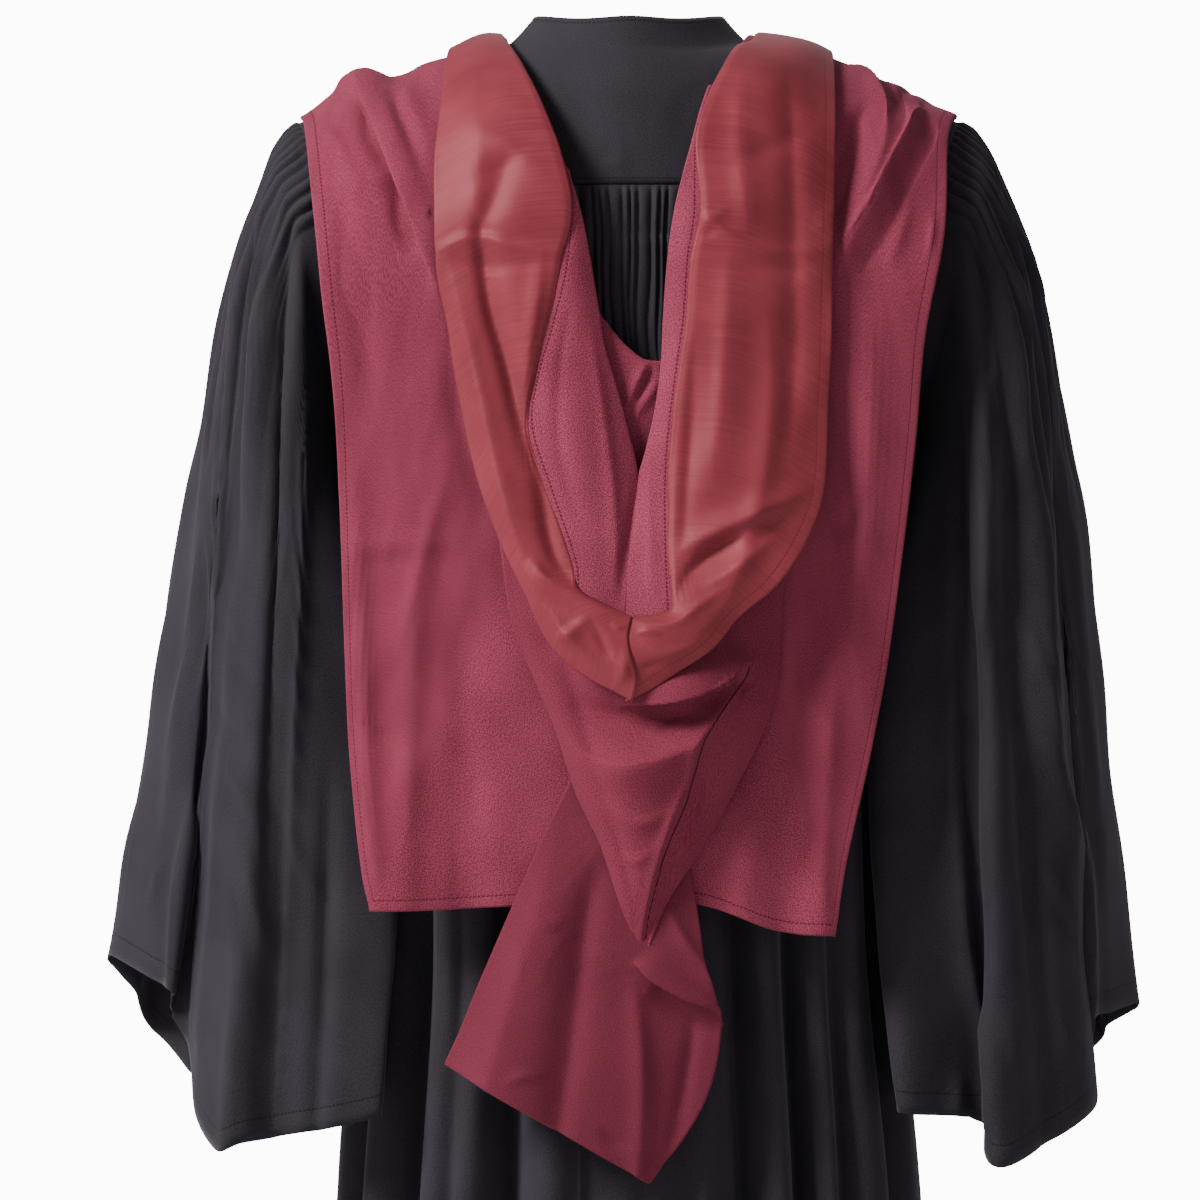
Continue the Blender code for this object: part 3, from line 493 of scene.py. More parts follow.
def body_edge(z, front):
    """Side edge of a body panel: the armhole seam above the underarm, the side seam below it."""
    turn = np.arccos(np.clip((np.clip(z, UNDERARM_Z, None) - UNDERARM_Z) / ARMHOLE_HEIGHT - 1, -1, 1))
    edge = armhole(-turn if front else turn)
    below = ease(UNDERARM_Z, UNDERARM_Z - 0.06, z)
    return (edge[..., 0] - ARMHOLE_SEAM) * (1 - below) + section_at(z)[..., 0] * below, np.abs(edge[..., 1])


def pipes(turn, z, table):
    """How far the cloth sinks between its pipe folds: bell-shaped furrows round the body that deepen to the hem.

    Each furrow's centre sways with the sine of the height, and its bell has the power 1.7, so its bottom is narrow.
    """
    sunk = np.zeros(np.broadcast(turn, z).shape)
    for centre, half_width, depth, start, drift in table:
        sway = drift * np.sin(z * 9 + centre)
        distance = np.abs(np.degrees(turn) - centre - sway) / half_width
        sunk += depth * ease(start, HEM_Z * 0.75, z) * np.exp(-(distance**1.8))
    return sunk


def level_normals(grid):
    """Unit normals of a grid with their height left out, for folds that push the cloth straight outwards."""
    out_of = outward(grid)
    out_of[..., 2] = 0
    return out_of / np.linalg.norm(out_of, axis=-1, keepdims=True)


def gathers(phase, seed, count):
    """Rounded flutes with narrow valleys: the 0.7th power of the sine over each flute, whose depths differ a little."""
    draw = np.random.default_rng(seed)
    size = draw.uniform(0.7, 1.15, count + 2)
    number = np.clip(np.floor(phase).astype(int), 0, count + 1)
    return size[number] * np.sin(np.pi * (phase - np.floor(phase))) ** 0.7


def rolled(grid, radius, left=False, right=False, bottom=False):
    """Turns the chosen borders of a sheet under in a half circle, as a fold or a turned hem does.

    A point goes on past the border by the radius times the sine, and inwards by the radius times one less the cosine.
    """
    for wanted, axis, last in ((left, 1, False), (right, 1, True), (bottom, 0, True)):
        if not wanted:
            continue
        normal = outward(grid)
        end = [-1, -2] if last else [0, 1]
        border, before = np.take(grid, end[0], axis=axis), np.take(grid, end[1], axis=axis)
        ahead = border - before
        ahead /= np.maximum(np.linalg.norm(ahead, axis=-1, keepdims=True), 1e-9)
        into = np.take(normal, end[0], axis=axis)
        turn = np.linspace(0, np.pi, 8)[1:]
        added = [border + ahead * radius * np.sin(a) - into * radius * (1 - np.cos(a)) for a in turn]
        added = np.stack(added if last else added[::-1], axis=axis)
        grid = np.concatenate([grid, added] if last else [added, grid], axis=axis)
    return grid


def back_grid(columns, levels):
    """The back from the yoke's seam to the hem: it lies on the shoulders and then hangs in a squared half oval.

    The columns are evenly spaced along the yoke's seam, so their shares of the turn come from the arc sine there.
    """
    z = levels[:, None]
    edge_x, edge_y = body_edge(z, False)
    depth = section_at(z[:, 0])[:, 1][:, None]
    side = np.arccos(np.clip(edge_y / depth, 0, 1) ** (1 / BACK_SQUARENESS)) - SEAM_GAP / 2 / edge_x
    even = np.linspace(-1, 1, columns)[None, :]
    share = np.sign(even) * np.arcsin(np.abs(even) ** (1 / SIDE_SQUARENESS) * np.sin(side[:1])) / side[:1]
    turn = share * side
    x = edge_x * np.sign(share) * (np.abs(np.sin(turn)) / np.sin(side)) ** SIDE_SQUARENESS
    hang = depth * np.cos(turn) ** BACK_SQUARENESS
    fall = np.clip((shoulder_line(x) - z) / BACK_DROP, 0, 1)
    lying = back_depth(x) * np.sqrt(1 - (1 - fall) ** 2)
    to_armhole = np.clip(edge_y / lying[:, -1:], 0, 1)
    lying = lying * (1 - (1 - to_armhole) * np.abs(share) ** 6)
    settle = ease(YOKE_SEAM_Z, YOKE_SEAM_Z - 0.10, z)
    return np.stack([x, -(lying * (1 - settle) + hang * settle), np.broadcast_to(z, x.shape)], axis=-1), turn, even, z


levels = np.r_[YOKE_SEAM_Z + SEAM_ALLOWANCE, YOKE_SEAM_Z - SEAM_GAP / 2, np.linspace(YOKE_SEAM_Z - 0.0012, -0.36, 46)[:-1]]
levels = np.r_[levels, np.linspace(-0.36, HEM_Z, 44)]
back_points, turn, share, z = back_grid(497, levels)
out_of = level_normals(back_points)
flute = (share + 1) / 2 * FLUTES + 0.20 * np.sin(share * 61) + 0.25 * np.sin(z * 60 + share * 19) * ease(-0.12, -0.24, z)
merge = ease(-0.15, -0.32, z)
second_row = 1 - 0.45 * np.exp(-(((z + 0.138) / 0.004) ** 2))
fine = gathers(np.clip(flute, 0, FLUTES), 11, FLUTES) * second_row
fine = fine * (1 - ease(YOKE_SEAM_Z - 0.05, -0.335 + 0.05 * np.sin(share * 23), z))
broad = gathers(np.clip(flute / 2.0 + 0.3 * np.sin(share * 19), 0, 31), 12, FLUTES // 2) * merge * (1 - ease(-0.40, -0.72, z))
inside_seams = ease(1.0, 0.985, np.abs(share))
relief = FLUTE_DEPTH * fine * (0.35 + 0.65 * ease(YOKE_SEAM_Z, YOKE_SEAM_Z - 0.012, z)) + 0.0040 * broad
relief = relief - pipes(turn, z, BACK_PIPES) + folds(back_points[..., 0], back_points[..., 2], BACK_FOLDS)
relief = relief + rumple(back_points[..., 0] * 1.6, z * 0.5, 5, 0.0012) * ease(-0.30, -0.55, z)
below_seam = (z < YOKE_SEAM_Z - SEAM_GAP)
back_points = back_points + out_of * ((relief * inside_seams + 0.0004 + GOWN_CLOTH) * below_seam)[..., None]
back_points = rolled(back_points, 0.0021, bottom=True)
back_down = lengths(back_points, 0)
back = cloth_piece(
    "back",
    back_points,
    gown_wool("back_wool", 0.028),
    GOWN_CLOTH,
    hem=back_down[-1:] - back_down,
    run=lengths(back_points, 1),
)
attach(back, "root")
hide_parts("gown_back")


# Each front is a plain panel of the same wool: seamed to the yoke in front, to the back at the side and to the
# sleeve, and open down the middle with a turned edge.

FRONT_PIPES = (
    # turn from the side seam to the front (degrees), half_width, depth, start_z, drift (degrees)
    (16, 6.0, 0.020, -0.34, 1.0),
    (34, 6.0, 0.024, -0.30, -1.4),
    (50, 5.0, 0.018, -0.26, 1.2),
    (62, 2.6, 0.006, -0.36, -0.8),
)


def front_points(columns, rows, seed):
    """A front panel: its rows fall from the yoke's seam to the hem, and its columns go from the side to the middle."""
    share = np.linspace(0, 1, columns)[None, :]
    corner = armhole(-armhole_front_turn()) - np.array([ARMHOLE_SEAM, 0, 0])
    under = (UNDERARM_Z - corner[2]) / (HEM_Z - corner[2])
    drop = np.concatenate([np.linspace(0, under, rows // 3), np.linspace(under, 1, rows - rows // 3 + 1)[1:]])[:, None]
    top_x = FRONT_EDGE_X + (corner[0] - FRONT_EDGE_X) * (1 - share)
    top = figure(top_x, np.full_like(top_x, -YOKE_FRONT_REACH - SEAM_GAP))
    z = top[..., 2] + (HEM_Z - top[..., 2]) * drop
    edge_x, edge_y = body_edge(z[:, :1], True)
    depth = section_at(z[:, 0])[:, 2][:, None]
    start = np.pi / 2 - np.arccos(np.clip(edge_y / depth, 0, 1) ** (1 / BACK_SQUARENESS)) + SEAM_GAP / 2 / edge_x
    inner_x = FRONT_EDGE_X + 0.006 * np.sin(np.pi * drop)
    end = np.arccos(np.clip((inner_x / edge_x) ** (1 / SIDE_SQUARENESS) * np.cos(start), 0, 1))
    turn = start + (end - start) * share
    x = edge_x * (np.cos(turn) / np.cos(start)) ** SIDE_SQUARENESS
    hang = depth * np.sin(turn) ** BACK_SQUARENESS
    settle = ease(0, 0.16, drop)
    x = (top[..., 0] + (edge_x - corner[0]) * (1 - share)) * (1 - settle) + x * settle
    y = (top[..., 1] + (edge_y - corner[1]) * (1 - share)) * (1 - settle) + hang * settle
    grid = np.stack([x, y, z], axis=-1)
    out_of = level_normals(grid)
    relief = -pipes(turn, z, FRONT_PIPES) + rumple(x * 1.5, z * 0.5, seed, 0.0014) * np.sin(np.pi * share) ** 0.5
    flutes = gathers(share * 14, seed, 14) * (1 - ease(0.02, 0.20, drop)) * ease(0, 0.01, drop) * 0.0022
    grid = grid + out_of * ((relief + flutes) * ease(0, 0.03, share) + GOWN_CLOTH + 0.0004)[..., None]
    return rolled(grid, 0.0021, right=True, bottom=True)


for side, seed in ((1, 21), (-1, 22)):
    name = "front_right" if side > 0 else "front_left"
    panel = front_points(104, 74, seed) * np.array([side, 1, 1])
    down, across = lengths(panel, 0), lengths(panel, 1)
    to_edge = np.minimum(down[-1:] - down, across[:, -1:] - across)
    front = cloth_piece(
        name,
        panel,
        gown_wool(name + "_wool", 0.028),
        GOWN_CLOTH,
        inside_out=side < 0,
        hem=to_edge,
        run=down + across,
    )
    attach(front, "root")
    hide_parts("gown_" + name)


# The sleeves are wide bells of the same wool. Their heads are gathered into the armholes in cartridge flutes, and
# the long cuffs end in a hem that is turned up and stitched twice.

SLEEVE_FLUTES = 22
SLEEVE_FLUTE_DEPTH = 0.0058
SLEEVE_HEM_LEFT = (
    # turn (degrees round from the outer line, positive to the back), x, y, z (mm)
    (-180, -238, -8, -779),
    (-150, -252, 45, -792),
    (-128, -275, 88, -807),
    (-105, -306, 82, -796),
    (-85, -322, 62, -769),
    (-60, -354, 66, -731),
    (-35, -376, 34, -689),
    (0, -382, 0, -668),
    (18, -353, -40, -681),
    (30, -336, -54, -691),
    (40, -337, -40, -709),
    (50, -323, -40, -733),
    (62, -315, -72, -781),
    (72, -299, -100, -802),
    (84, -281, -110, -796),
    (98, -258, -98, -793),
    (112, -235, -112, -788),
    (130, -205, -120, -782),
    (145, -180, -118, -775),
    (156, -187, -100, -771),
    (168, -221, -66, -772),
    (180, -238, -8, -779),
)
SLEEVE_HEM_RIGHT = (
    # turn (degrees round from the outer line, positive to the back), x, y, z (mm)
    (-180, 240, -6, -776),
    (-150, 254, 48, -786),
    (-128, 278, 90, -803),
    (-105, 315, 84, -796),
    (-80, 338, 58, -766),
    (-50, 357, 58, -731),
    (-28, 371, 28, -712),
    (0, 375, 0, -703),
    (16, 355, -36, -707),
    (28, 338, -52, -712),
    (38, 338, -44, -741),
    (50, 341, -58, -768),
    (60, 333, -82, -778),
    (74, 298, -106, -799),
    (88, 265, -122, -812),
    (96, 259, -108, -801),
    (104, 263, -92, -784),
    (118, 240, -98, -778),
    (134, 204, -114, -775),
    (150, 196, -98, -773),
    (164, 220, -60, -775),
    (180, 240, -6, -776),
)
SLEEVE_BULGE = (
    # share of the way down, left sleeve, right sleeve, the inner side beside the body (mm)
    (0.00, 0, 0, 0),
    (0.05, 9, 13, 4),
    (0.14, 17, 25, -2),
    (0.30, 22, 34, -19),
    (0.50, 19, 30, -26),
    (0.75, 9, 15, -16),
    (1.00, 0, 0, 0),
)
LEFT_FOLDS = (
    # x, z, half width on the left or below, half width on the right or above, height (mm)
    (
        (-263, -81, 5, 6, 0),
        (-272, -121, 6, 8, 4),
        (-278, -176, 7, 10, 6),
        (-288, -257, 8, 12, 7),
        (-296, -352, 8, 13, 7),
        (-302, -433, 8, 13, 6),
        (-304, -520, 7, 12, 6),
        (-310, -623, 6, 12, 5),
        (-315, -720, 5, 10, 3),
    ),
    ((-253, -74, 4, 4, 0), (-262, -117, 3, 5, 3), (-266, -183, 3, 6, 4), (-269, -257, 4, 6, 3), (-272, -315, 5, 6, 0)),
    ((-244, -103, 4, 4, 0), (-249, -154, 5, 5, -4), (-252, -213, 5, 5, -4), (-253, -271, 5, 5, 0)),
    ((-304, -506, 5, 6, 0), (-313, -546, 5, 7, 4), (-323, -583, 5, 7, 5), (-331, -638, 5, 7, 4), (-338, -696, 4, 6, 2)),
    (
        (-253, -198, 7, 6, 0),
        (-255, -242, 8, 7, -5),
        (-255, -330, 9, 7, -8),
        (-257, -433, 9, 7, -8),
        (-260, -506, 8, 7, -6),
        (-263, -586, 7, 7, -3),
        (-265, -652, 7, 7, 0),
    ),
    ((-283, -183, 6, 6, 0), (-293, -271, 6, 7, -3), (-306, -403, 6, 7, -4), (-312, -506, 6, 7, -3), (-318, -572, 5, 5, 0)),
    ((-296, -220, 6, 6, 0), (-306, -286, 6, 8, 3), (-316, -389, 6, 8, 4), (-329, -491, 6, 8, 3.5), (-345, -594, 6, 8, 0)),
    ((-241, -132, 5, 5, 0), (-239, -213, 6, 6, 3), (-240, -330, 7, 7, 4), (-243, -476, 8, 7, 4), (-247, -623, 8, 8, 4), (-256, -784, 8, 8, 2)),
    ((-281, -623, 5, 6, 0), (-282, -682, 6, 7, 3), (-287, -740, 6, 8, 4), (-291, -799, 6, 8, 3)),
    ((-219, -520, 6, 6, 0), (-219, -594, 7, 6, -4), (-222, -696, 7, 6, -5), (-228, -791, 7, 6, -4)),
)
LEFT_CREASES = (
    # the same columns, for short creases
    ((-300, -476, 3.5, 3.5, 0), (-289, -500, 3.5, 3.5, -2.6), (-272, -520, 3.5, 3.5, 0)),
    ((-296, -502, 4, 4, 0), (-282, -534, 4, 4, 2.6), (-262, -561, 4, 4, 0)),
    ((-291, -542, 3, 3, 0), (-279, -565, 3, 3, -2.1), (-265, -586, 3, 3, 0)),
    ((-277, -585, 3.5, 3.5, 0), (-272, -623, 3.5, 3.5, 2.6), (-262, -660, 3.5, 3.5, 0)),
    ((-287, -608, 3, 3, 0), (-280, -638, 3, 3, -1.9), (-269, -667, 3, 3, 0)),
    ((-304, -374, 5, 5, 0), (-291, -406, 5, 5, 2.2), (-269, -433, 5, 5, 0)),
    ((-337, -594, 3, 3, 0), (-345, -608, 3, 3, 1.9), (-351, -623, 3, 3, 0)),
    ((-249, -564, 4, 4, 0), (-238, -595, 4, 4, 2.1), (-219, -623, 4, 4, 0)),
    ((-269, -271, 5, 5, 0), (-258, -295, 5, 5, 1.9), (-241, -315, 5, 5, 0)),
)
RIGHT_FOLDS = (
    # x, z, half width on the left or below, half width on the right or above, height (mm)
    (
        (235, -308, 6, 5, 0),
        (233, -403, 8, 5, 3),
        (235, -520, 9, 5, 5),
        (240, -597, 9, 5, 6),
        (248, -674, 8, 5, 6),
        (261, -726, 7, 5, 5),
        (263, -783, 6, 5, 3),
    ),
    ((260, -74, 4, 4, 0), (271, -121, 5, 3, 3), (279, -176, 6, 3, 4), (283, -242, 6, 4, 3), (286, -315, 6, 5, 0)),
    ((273, -96, 4, 4, 0), (285, -147, 5, 3, 3), (293, -205, 6, 3, 3.5), (302, -279, 6, 4, 2), (308, -330, 6, 5, 0)),
    ((248, -117, 4, 4, 0), (255, -176, 5, 5, -4), (261, -242, 6, 5, -4), (266, -315, 6, 5, 0)),
    (
        (289, -271, 7, 6, 0),
        (298, -345, 8, 6, 3),
        (301, -418, 8, 6, 5),
        (308, -520, 9, 6, 6),
        (329, -594, 8, 5, 6),
        (334, -645, 7, 5, 5),
        (339, -711, 6, 5, 3),
    ),
    ((310, -330, 4, 5, 0), (315, -403, 4, 6, 3), (321, -498, 4, 6, 3), (330, -564, 4, 5, 0)),
    (
        (269, -183, 6, 8, 0),
        (274, -271, 8, 9, -4),
        (277, -374, 9, 10, -6),
        (282, -491, 9, 10, -7),
        (289, -594, 8, 10, -7),
        (296, -696, 8, 9, -5),
        (302, -799, 7, 8, -3),
    ),
    ((254, -139, 6, 7, 0), (260, -227, 7, 8, 3), (258, -345, 8, 8, 4), (257, -476, 8, 8, 3), (260, -594, 7, 7, 0)),
    ((293, -169, 6, 6, 0), (310, -271, 7, 6, 3), (324, -374, 7, 6, 3.5), (336, -491, 7, 6, 3), (351, -623, 6, 6, 0)),
    ((238, -740, 5, 5, 0), (238, -762, 6, 6, 3), (236, -783, 6, 6, 3)),
)
RIGHT_CREASES = (
    # the same columns, for short creases
    ((293, -594, 4, 4, 0), (314, -617, 4, 4, 2.6), (327, -645, 4, 4, 0)),
    ((301, -623, 3.5, 3.5, 0), (318, -643, 3.5, 3.5, -2.1), (332, -667, 3.5, 3.5, 0)),
    ((271, -403, 5, 5, 0), (288, -431, 5, 5, 2.2), (298, -462, 5, 5, 0)),
    ((305, -696, 4, 4, 0), (318, -720, 4, 4, 2.2), (336, -740, 4, 4, 0)),
    ((271, -696, 4, 4, 0), (275, -726, 4, 4, 2.2), (283, -755, 4, 4, 0)),
    ((315, -433, 3, 3, 0), (327, -454, 3, 3, 1.9), (334, -476, 3, 3, 0)),
    ((242, -476, 4, 4, 0), (250, -500, 4, 4, -1.9), (264, -520, 4, 4, 0)),
    ((280, -139, 5, 5, 0), (288, -173, 5, 5, 2.6), (301, -205, 5, 5, 0)),
)
HIDDEN_PIPES = (
    # turn from the outer line (degrees), half width (degrees), height (mm), share of the way down where it starts
    (-20, 7, 5, 0.12),
    (-38, 6, -5, 0.20),
    (-58, 8, 5, 0.10),
    (-80, 6, -6, 0.25),
    (-104, 8, 5, 0.20),
    (-126, 7, -5, 0.30),
    (-150, 9, 4, 0.35),
    (172, 9, 4, 0.30),
    (150, 8, -4, 0.35),
)


def sleeve_points(side, turns, shares):
    """A sleeve: lines from the armhole to the hem, bowed out by the bulge, most on the outer line."""
    hem = np.array(SLEEVE_HEM_LEFT if side < 0 else SLEEVE_HEM_RIGHT, float)
    bulge = np.array(SLEEVE_BULGE, float)
    head = armhole(turns) * np.array([side, 1, 1])
    head[:, 0] += side * (SEAM_GAP + 0.0030 * ease(1.1, 1.8, np.abs(turns)))
    foot = through(np.radians(hem[:, 0]), hem[:, 1:] / 1000, turns)
    down = shares[:, None, None]
    grid = head[None] * (1 - down) + foot[None] * down
    bows = through(bulge[:, 0], bulge[:, 1:] / 1000, shares)
    bow, inner_bow = bows[:, 0 if side < 0 else 1][:, None], bows[:, 2][:, None]
    outer = (0.5 + 0.5 * np.cos(turns))[None, :]
    inner_side = ease(1.7, 2.5, np.abs(turns))[None, :]
    grid[..., 0] += side * (bow * (0.35 + 0.65 * outer) * (1 - inner_side) + inner_bow * inner_side)
    grid[..., 1] -= bow * 0.45 * np.sin(turns)[None, :]
    grid[..., 2] += bow * 0.35 * outer * (1 - ease(0.0, 0.3, shares))[:, None]
    out_first = np.clip(np.sin(turns), 0, 1)[None] * (ease(0, 0.045, shares) * (1 - ease(0.07, 0.40, shares)))[:, None]
    grid[..., 0] += side * 0.012 * out_first
    grid[..., 2] += 0.010 * out_first
    return grid


def sleeve_relief(side, grid, out_of, turns, shares):
    """Flutes at the head, placed folds where the cloth faces back, and broad pipes round the rest of the sleeve."""
    angle = np.degrees(turns)[None, :]
    down = shares[:, None]
    phase = (angle + 62) / 130 * SLEEVE_FLUTES
    zone = ease(-0.5, 0.6, phase) * (1 - ease(SLEEVE_FLUTES - 0.6, SLEEVE_FLUTES + 0.5, phase))
    long_end = 0.15 + 0.05 * np.sin(phase * 2.3 + side)
    flute = gathers(np.clip(phase, 0, SLEEVE_FLUTES), 30 + side, SLEEVE_FLUTES) * zone
    relief = flute * SLEEVE_FLUTE_DEPTH * ease(-0.012, 0.016, down) * (1 - ease(0.03, 1, down / long_end) ** 0.8)
    merged = gathers(np.clip(phase / 2 + 0.2 * np.sin(phase), 0, 11), 33 + side, 11) * zone
    relief += merged * 0.006 * ease(0.06, 0.16, down) * (1 - ease(0.18, 0.48, down))
    facing = ease(0.05, 0.45, -out_of[..., 1])
    x, z = grid[..., 0], grid[..., 2]
    relief += 1.5 * folds(x, z, LEFT_FOLDS + LEFT_CREASES if side < 0 else RIGHT_FOLDS + RIGHT_CREASES) * facing
    for centre, half_width, height, start in HIDDEN_PIPES:
        distance = np.abs(angle - centre - 3 * np.sin(down * 5 + centre * side)) / half_width
        relief += height / 1000 * ease(start, start + 0.35, down) * np.exp(-(distance**1.8)) * (1 - facing)
    return relief + rumple(turns[None] * 0.16, down * 0.5, 40 + side, 0.0012) * ease(0.1, 0.4, down)


turns = np.radians(np.concatenate([np.linspace(-180, -64, 60)[:-1], np.linspace(-64, 70, 176)[:-1], np.linspace(70, 180, 58)[:-1]]))
shares = np.concatenate([np.linspace(0, 0.2, 34)[:-1], np.linspace(0.2, 1, 62)])
for side in (-1, 1):
    name = "sleeve_left" if side < 0 else "sleeve_right"
    tube = sleeve_points(side, turns, shares)
    out_of = outward(tube, ring=True) * -side
    tube = tube + out_of * (sleeve_relief(side, tube, out_of, turns, shares) + GOWN_CLOTH + 0.0004)[..., None]
    tucked = tube[:1] - np.array([side * 0.006, 0, 0]) - out_of[:1] * 0.0012
    tube = np.concatenate([tucked, tube])
    down = lengths(tube, 0)
    around = lengths(np.concatenate([tube, tube[:, :1]], axis=1), 1)[:, :-1]
    sleeve = cloth_piece(
        name,
        tube,
        gown_wool(name + "_wool", 0.016),
        GOWN_CLOTH,
        ring=True,
        inside_out=side > 0,
        hem=down[-1:] - down,
        run=around,
    )
    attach(sleeve, "root")
    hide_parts("gown_" + name)


# The hood's cape is one square-cornered piece of maroon wool that lies over both shoulders and hangs down the back.
# Its edges are turned under and topstitched, a roll of it laps over on the left shoulder, and old pressing marks it.

HOOD_CLOTH = 0.0014
HOOD_SKIN = {"rise": 0.004, "back": 0.139, "narrowing": 0.10, "chest": 0.112, "lean": 0.02}
MAROON_DEEP = (0.105, 0.014, 0.027)
MAROON_PALE = (0.292, 0.050, 0.086)
MAROON_THREAD = (0.080, 0.010, 0.020)
CAPE = (
    # x, z, lift of the neck edge, x, z, lift of the outer edge, belly between them (mm)
    (-85, -10, 0, -238, -56, 0, 0),
    (-72, -45, 0, -231, -98, 0, 0),
    (-59, -79, 0, -222, -173, 0, 0),
    (-47, -115, 0, -212, -259, 0, 0),
    (-36, -151, 0, -207, -374, 0, 0),
    (-27, -180, 0, -202, -504, 0, 0),
    (-22, -196, 0, -193, -593, 0, 0),
    (-18.2, -202, 0, -187.6, -620, 0, 0),
    (-17.6, -202.5, 0, -187, -625, 0, 0),
    (-17, -203, 0, -182, -625, 0, 0),
    (-12, -210, 0, -137, -624, 0, 0),
    (-3, -220, 0, -84, -621, 0, 0),
    (8, -229, 0, -7, -619, 0, 0),
    (16, -231, 0, 50, -620, 0, 0),
    (23, -231, 0, 106, -639, 0, 0),
    (26, -226, 0, 142, -642, 0, 0),
    (26.6, -225, 0, 147, -642.5, 0, 0),
    (27, -223, 0, 148, -637, 0, 0),
    (30, -209, 0, 156, -586, 0, 0),
    (35, -180, 0, 174, -504, 0, 0),
    (39, -151, 0, 187, -432, 0, 0),
    (43, -115, 0, 204, -295, 0, 0),
    (50, -79, 0, 212, -209, 0, 0),
    (60, -47, 0, 226, -137, 0, 0),
    (76, -10, 0, 232, -66, 0, 0),
)
CAPE_SHOULDER = (
    # neck x, outer x, way from the shoulder ridge (mm), for the right shoulder going from the back to the front
    (93, 243, 0),
    (99, 234, -45),
)
SHOULDER_RISE = (
    # x, height of the cape above the bare shoulder along its ridge (mm)
    (-243, 0),
    (-233, 3),
    (-226, 6),
    (-220, 9),
    (-215, 16),
    (-208, 18),
    (-198, 17),
    (-190, 12),
    (-182, 5.5),
    (-174, 4),
    (-165, 4.5),
    (-156, 7),
    (-145, 7),
    (-132, 5),
    (-104, 3),
    (-60, 0),
    (60, 0),
    (92, 4),
    (120, 7),
    (150, 9.5),
    (160, 8),
    (172, 7),
    (186, 4.5),
    (197, 6),
    (205, 6),
    (211, 3),
    (218, 3),
    (228, 0),
    (243, 0),
)
SHOULDER_FOLDS = (
    # x, way up over the cloth from the shoulder's ridge, half width on the left, on the right, height (mm)
    (
        (-209, -0, 3, 10, 0),
        (-198, -49, 3, 11, 5),
        (-190, -82, 3, 11, 9),
        (-181, -110, 3, 11, 10),
        (-173, -138, 3.2, 11, 10),
        (-164, -167, 3.5, 11, 9),
        (-154, -192, 4, 11, 7.5),
        (-144, -216, 5, 11, 5.5),
        (-133, -261, 8, 11, 3),
        (-121, -309, 10, 10, 0),
    ),
    (
        (-187, -56, 8, 22, 0),
        (-176, -96, 8, 24, 4),
        (-165, -135, 8, 24, 4.5),
        (-153, -176, 8, 20, 3.5),
        (-137, -221, 8, 14, 0),
    ),
    (
        (-204, -49, 3, 3, 0),
        (-197, -75, 4, 4, -7),
        (-190, -103, 4.5, 4, -10),
        (-182, -128, 4.5, 4, -10.5),
        (-173, -154, 4.5, 4, -10),
        (-163, -191, 5, 4, -8.5),
        (-154, -218, 5, 5, 0),
    ),
    ((-167, -32, 6, 6, 0), (-162, -83, 7, 9, 3), (-152, -123, 8, 10, 3), (-141, -159, 7, 9, 0)),
    ((-174, -57, 5, 5, 0), (-168, -96, 5, 5, -3), (-159, -129, 6, 6, -3), (-149, -165, 6, 6, 0)),
    ((-227, -69, 4, 4, 0), (-216, -94, 5, 5, 2.2), (-203, -134, 6, 6, 2), (-193, -166, 6, 6, 0)),
    (
        (164, -0, 10, 3, 0),
        (176, -0, 12, 3, 4),
        (184, -44, 12, 3, 7),
        (190, -68, 12, 3, 7),
        (190, -93, 12, 3.5, 6),
        (184, -123, 10, 4, 4),
        (172, -158, 8, 4, 2.2),
        (162, -180, 6, 4, 0),
    ),
    (
        (174, -78, 4, 4, 0),
        (168, -99, 5, 5, -3),
        (163, -116, 6, 6, -6),
        (158, -139, 6, 6, -7),
        (152, -160, 6, 7, -7),
        (148, -180, 6, 8, -6),
        (147, -198, 6, 8, -3),
        (147, -217, 6, 6, 0),
    ),
    ((188, -137, 2, 2, 0), (185, -149, 2, 2, 2), (172, -173, 2, 2, 2.4), (160, -194, 2, 2, 2), (152, -209, 2, 2, 0)),
    (
        (214, -50, 12, 3, 2),
        (212, -69, 12, 4, 6),
        (207, -97, 12, 4, 8),
        (194, -132, 12, 4, 8),
        (185, -158, 12, 4.5, 7.5),
        (175, -180, 12, 5, 6.5),
        (160, -208, 12, 5, 5),
        (149, -230, 10, 6, 0),
    ),
    (
        (220, -61, 3, 4, 0),
        (216, -78, 3, 5, -3.5),
        (211, -101, 3, 6, -3),
        (200, -131, 3, 6, -3),
        (190, -158, 3.5, 7, -2.5),
        (180, -183, 4, 7, -2),
        (170, -204, 5, 8, -2),
        (162, -223, 5, 8, 0),
    ),
    ((220, -155, 2.5, 2.5, 0), (218, -175, 2.5, 2.5, 2.2), (214, -194, 2.5, 2.5, 0)),
    ((204, -154, 4, 4, 0), (195, -185, 5, 5, 2.4), (184, -213, 5, 5, 0)),
)
